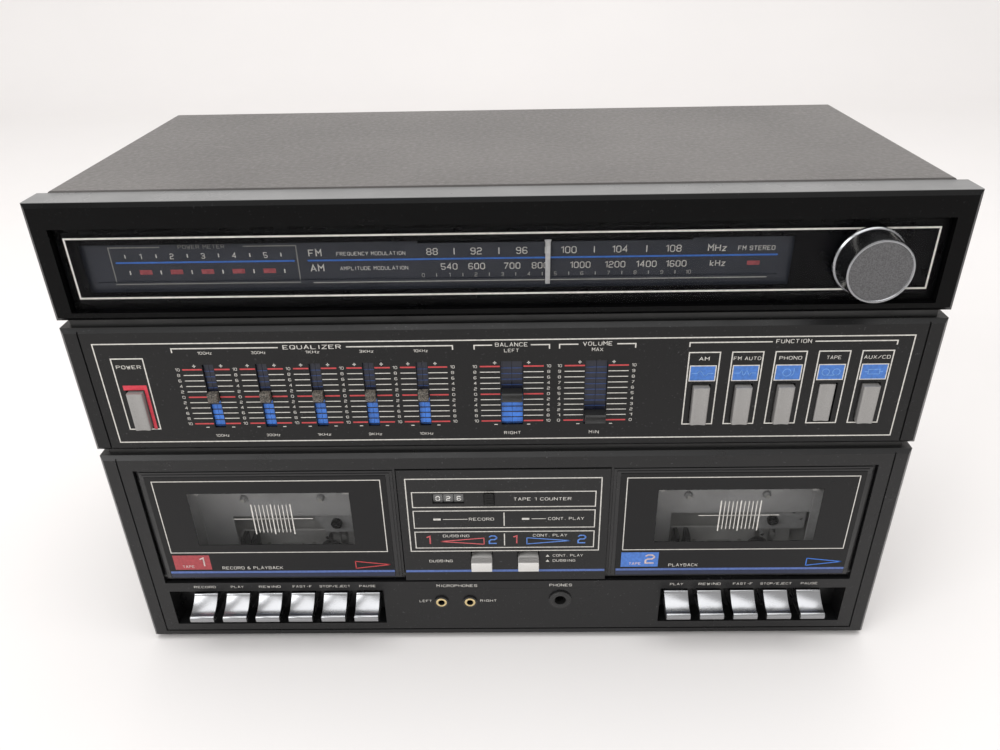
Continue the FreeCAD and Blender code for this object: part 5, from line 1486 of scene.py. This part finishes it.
class STEREO_OT_centre_panel(Operator):
    """Print, counter, lamps and small buttons between the doors"""

    bl_idname = "stereo.centre_panel"
    bl_label = "Centre panel"

    def execute(self, context):
        self.print_panel()
        self.print_modes()
        self.make_counter()
        self.make_reset()
        for name in ("dubbing", "mode"):
            self.make_silver(name + "_button")
        return {"FINISHED"}

    def print_panel(self):
        white = finish_of("white_ink")
        face = Printing("panel_print", PANEL_FACE, DECK_BASE)
        face.outline((-50.7, 51.0), (63.4, 112.2), white, 0.58)
        for up in ((93.3, 103.6), (79.4, 91.4), (65.7, 77.3)):
            face.outline((-47.8, 48.2), up, white, 0.52)
        face.upright(0.2, (80.9, 89.8), white, 0.55)
        face.upright(0.2, (67.4, 75.6), white, 0.55)
        for start, stop in ((-37.2, -19.1), (9.6, 22.2)):
            face.field((start, start + 3.9), (84.9, 86.1), white)
            face.level((start + 5.1, stop), 85.5, white, 0.35)
        face.lay(white, ("TAPE 1 COUNTER", 5.2, 98.6, 2.0, 30.2, "LEFT"),
                 ("RECORD", -18.4, 85.5, 1.9, 13.3, "LEFT"),
                 ("CONT. PLAY", 23.4, 85.5, 1.9, 19.0, "LEFT"))
        face.piece(CABINET, smooth=0)

    def print_modes(self):
        """The two dubbing directions: numbers, words and arrows."""
        white, red, blue = (finish_of(name) for name in (
            "white_ink", "number_red_ink", "number_blue_ink"))
        face = Printing("mode_print", PANEL_FACE, DECK_BASE)
        face.lay(red, ("1", -40.6, 71.4, 6.0, 2.6), ("1", 5.9, 71.4, 6.0, 2.6))
        face.lay(blue, ("2", -6.0, 71.4, 6.0, 4.8), ("2", 41.6, 71.4, 6.0, 4.8))
        face.lay(white, ("DUBBING", -25.6, 74.2, 1.8, 14.2), ("CONT. PLAY", 24.6, 74.2, 1.8, 18.4),
                 ("DUBBING", -34.6, 56.6, 1.8, 12.8), ("CONT. PLAY", 26.2, 60.0, 1.7, 16.4, "LEFT"),
                 ("DUBBING", 26.2, 56.4, 1.7, 12.4, "LEFT"))
        for tail, tip, material in ((-10.8, -34.2, red), (12.2, 35.4, blue)):
            face.stroke([(tail, 68.3), (tail, 72.6), (tip, 70.4), (tail, 68.3)], material, 0.5)
        for foot in (59.2, 55.6):
            face.polygon([(22.4, foot), (24.4, foot), (23.4, foot + 1.6)], white)
        face.level((-54.2, 54.6), 49.4, finish_of("bright_blue_ink"), 1.5)
        face.piece(CABINET, smooth=0)

    def make_counter(self):
        """Three number wheels; every wheel carries all ten digits around its rim."""
        (left, right), y, z = limits("counter_wheels")
        centre = Vector((left, sum(y) / 2, sum(z) / 2))
        radius = centre.y - PANEL_FACE - 0.8
        counter = Shape("counter_digits")
        width = (right - left) / 3
        outline = [(0.0, 0.0), (radius - 0.4, 0.0), (radius - 0.1, 0.3),
                   (radius - 0.1, width - 0.5), (radius - 0.4, width - 0.2), (0.0, width - 0.2)]
        for wheel, shown in enumerate((0, 2, 6)):
            start = left + width * wheel
            counter.turned(outline, (start + 0.1, centre.y, centre.z), (1, 0, 0),
                           finish_of("wheel_plastic"), 60)
            for digit in range(10):
                centre.x = start + width / 2
                self.wrap_digit(counter, str(digit), centre, radius, 36.0 * (digit - shown) - 3.0)
        counter.piece("counter_wheels", "number_wheel", ("counter_wheels",))

    def wrap_digit(self, counter, text, centre, radius, turn):
        """Lay one digit round the rim of a wheel."""
        flat = Printing("digit", 0.0, 0.0)
        flat.words(text, 0.0, 0.0, finish_of("digit_white"), 3.2)
        mesh = bpy.data.meshes.new("digit")
        flat.mesh.to_mesh(mesh)
        flat.mesh.free()
        fresh = counter.take(mesh)
        bpy.data.meshes.remove(mesh)
        for vert in fresh:
            angle = vert.co.z / radius + math.radians(turn)
            reach = radius - 0.1 - vert.co.y
            vert.co = centre + Vector((vert.co.x, -reach * math.cos(angle), reach * math.sin(angle)))
        counter.paint(counter.faces_of(fresh), finish_of("digit_white"))

    def make_reset(self):
        node = "counter_reset_button"
        x, (front, back), z = limits(node)
        black = finish_of("reset_black")
        cap = Shape("reset_cap")
        cap.block(x, (front + 0.3, back), z, black, 0.5, 3)
        for row in range(4):
            height = z[0] + 1.5 + row * 1.55
            cap.block(inset(x, 0.6), (front, front + 0.8), (height, height + 0.6), black, 0.15, 1)
        cap.piece(node, "cap_black", (node,))

    def make_silver(self, node):
        """A silver button with a plain bright front and a grooved darker top."""
        x, y, (bottom, top) = limits(node)
        cap = Shape(node + "_cap")
        cap.block(x, y, (bottom, top - 0.5), finish_of("bright_silver_paint"), 0.35, 3)
        for row in range(4):
            start = y[0] + 0.5 + row * 1.15
            cap.block(inset(x, 0.15), (start, start + 0.7), (top - 0.9, top),
                      finish_of("silver_paint"), 0.15, 1)
        cap.piece(node, "silver_plastic", (node,))


# ---------------------------------------------------------------- jacks


class STEREO_OT_jacks(Operator):
    """Gilt rings of the microphone jacks, the headphone collar, their words and a painted shadow line
    under the step above them
    """

    bl_idname = "stereo.jacks"
    bl_label = "Jacks"

    def execute(self, context):
        face = Printing("jack_print", FRONT, DECK_BASE)
        face.lay(finish_of("white_ink"), ("MICROPHONES", -26.8, 38.4, 1.9, 22.6),
                 ("PHONES", 30.9, 38.4, 1.9, 12.5), ("LEFT", -41.4, 27.0, 1.7, 7.0, "RIGHT"),
                 ("RIGHT", -14.2, 27.0, 1.7, 9.4, "LEFT"))
        # Painted shadow: a black line where the bar above overhangs the recessed jack strip.
        face.level((-54.7, 55.8), 35.7, finish_of("painted_step_shadow_ink"), 0.7)
        face.piece(CABINET, smooth=0)
        front = low("front_jacks").y
        rings = Shape("jack_rings")
        small = [(1.85, -0.3), (1.85, 0.1), (2.2, 0.3), (2.7, 0.25), (3.0, 0.0), (3.0, -0.3),
                 (1.85, -0.3)]
        collar = [(3.4, -0.2), (3.6, 0.15), (4.4, 0.3), (5.0, 0.2), (5.3, -0.1), (5.3, -0.2),
                  (3.4, -0.2)]
        for outline, x, z, name, steps in ((small, -35.95, 26.6, "gold_ring", 48),
                                           (small, -19.85, 26.6, "gold_ring", 48),
                                           (collar, 30.8, 27.9, "black_cap_plastic", 64)):
            rings.turned(outline, (x, front, DECK_BASE + z), (0, -1, 0), finish_of(name), steps)
        rings.piece(CABINET, "jack_metal")
        return {"FINISHED"}


# ---------------------------------------------------------------- panel and main


OPERATORS = (STEREO_OT_stage, STEREO_OT_cabinet, STEREO_OT_dial, STEREO_OT_tuning_knob,
             STEREO_OT_equaliser_print, STEREO_OT_slot_trays, STEREO_OT_slider_caps,
             STEREO_OT_push_buttons, STEREO_OT_doors, STEREO_OT_mechanism, STEREO_OT_keys,
             STEREO_OT_centre_panel, STEREO_OT_jacks)


class STEREO_PT_looks(Panel):
    """Lists the steps that build the stereo's looks"""

    bl_idname = "STEREO_PT_looks"
    bl_label = "Compact stereo"
    bl_space_type = "VIEW_3D"
    bl_region_type = "UI"
    bl_category = "Stereo"

    def draw(self, context):
        layout = self.layout
        scene = context.scene
        for group in (scene.stereo_colours, scene.stereo_sizes):
            for name in group.__annotations__:
                layout.prop(group, name)
        for operator in OPERATORS:
            layout.operator(operator.bl_idname)


CLASSES = (StereoColours, StereoSizes, *OPERATORS, STEREO_PT_looks)


def register():
    for item in CLASSES:
        bpy.utils.register_class(item)
    bpy.types.Scene.stereo_colours = PointerProperty(type=StereoColours)
    bpy.types.Scene.stereo_sizes = PointerProperty(type=StereoSizes)


def unregister():
    del bpy.types.Scene.stereo_sizes
    del bpy.types.Scene.stereo_colours
    for item in reversed(CLASSES):
        bpy.utils.unregister_class(item)


def main():
    register()
    bpy.context.scene.view_settings.view_transform = "Standard"
    for operator in OPERATORS:
        group, name = operator.bl_idname.split(".")
        getattr(getattr(bpy.ops, group), name)()


if __name__ == "__main__":
    main()
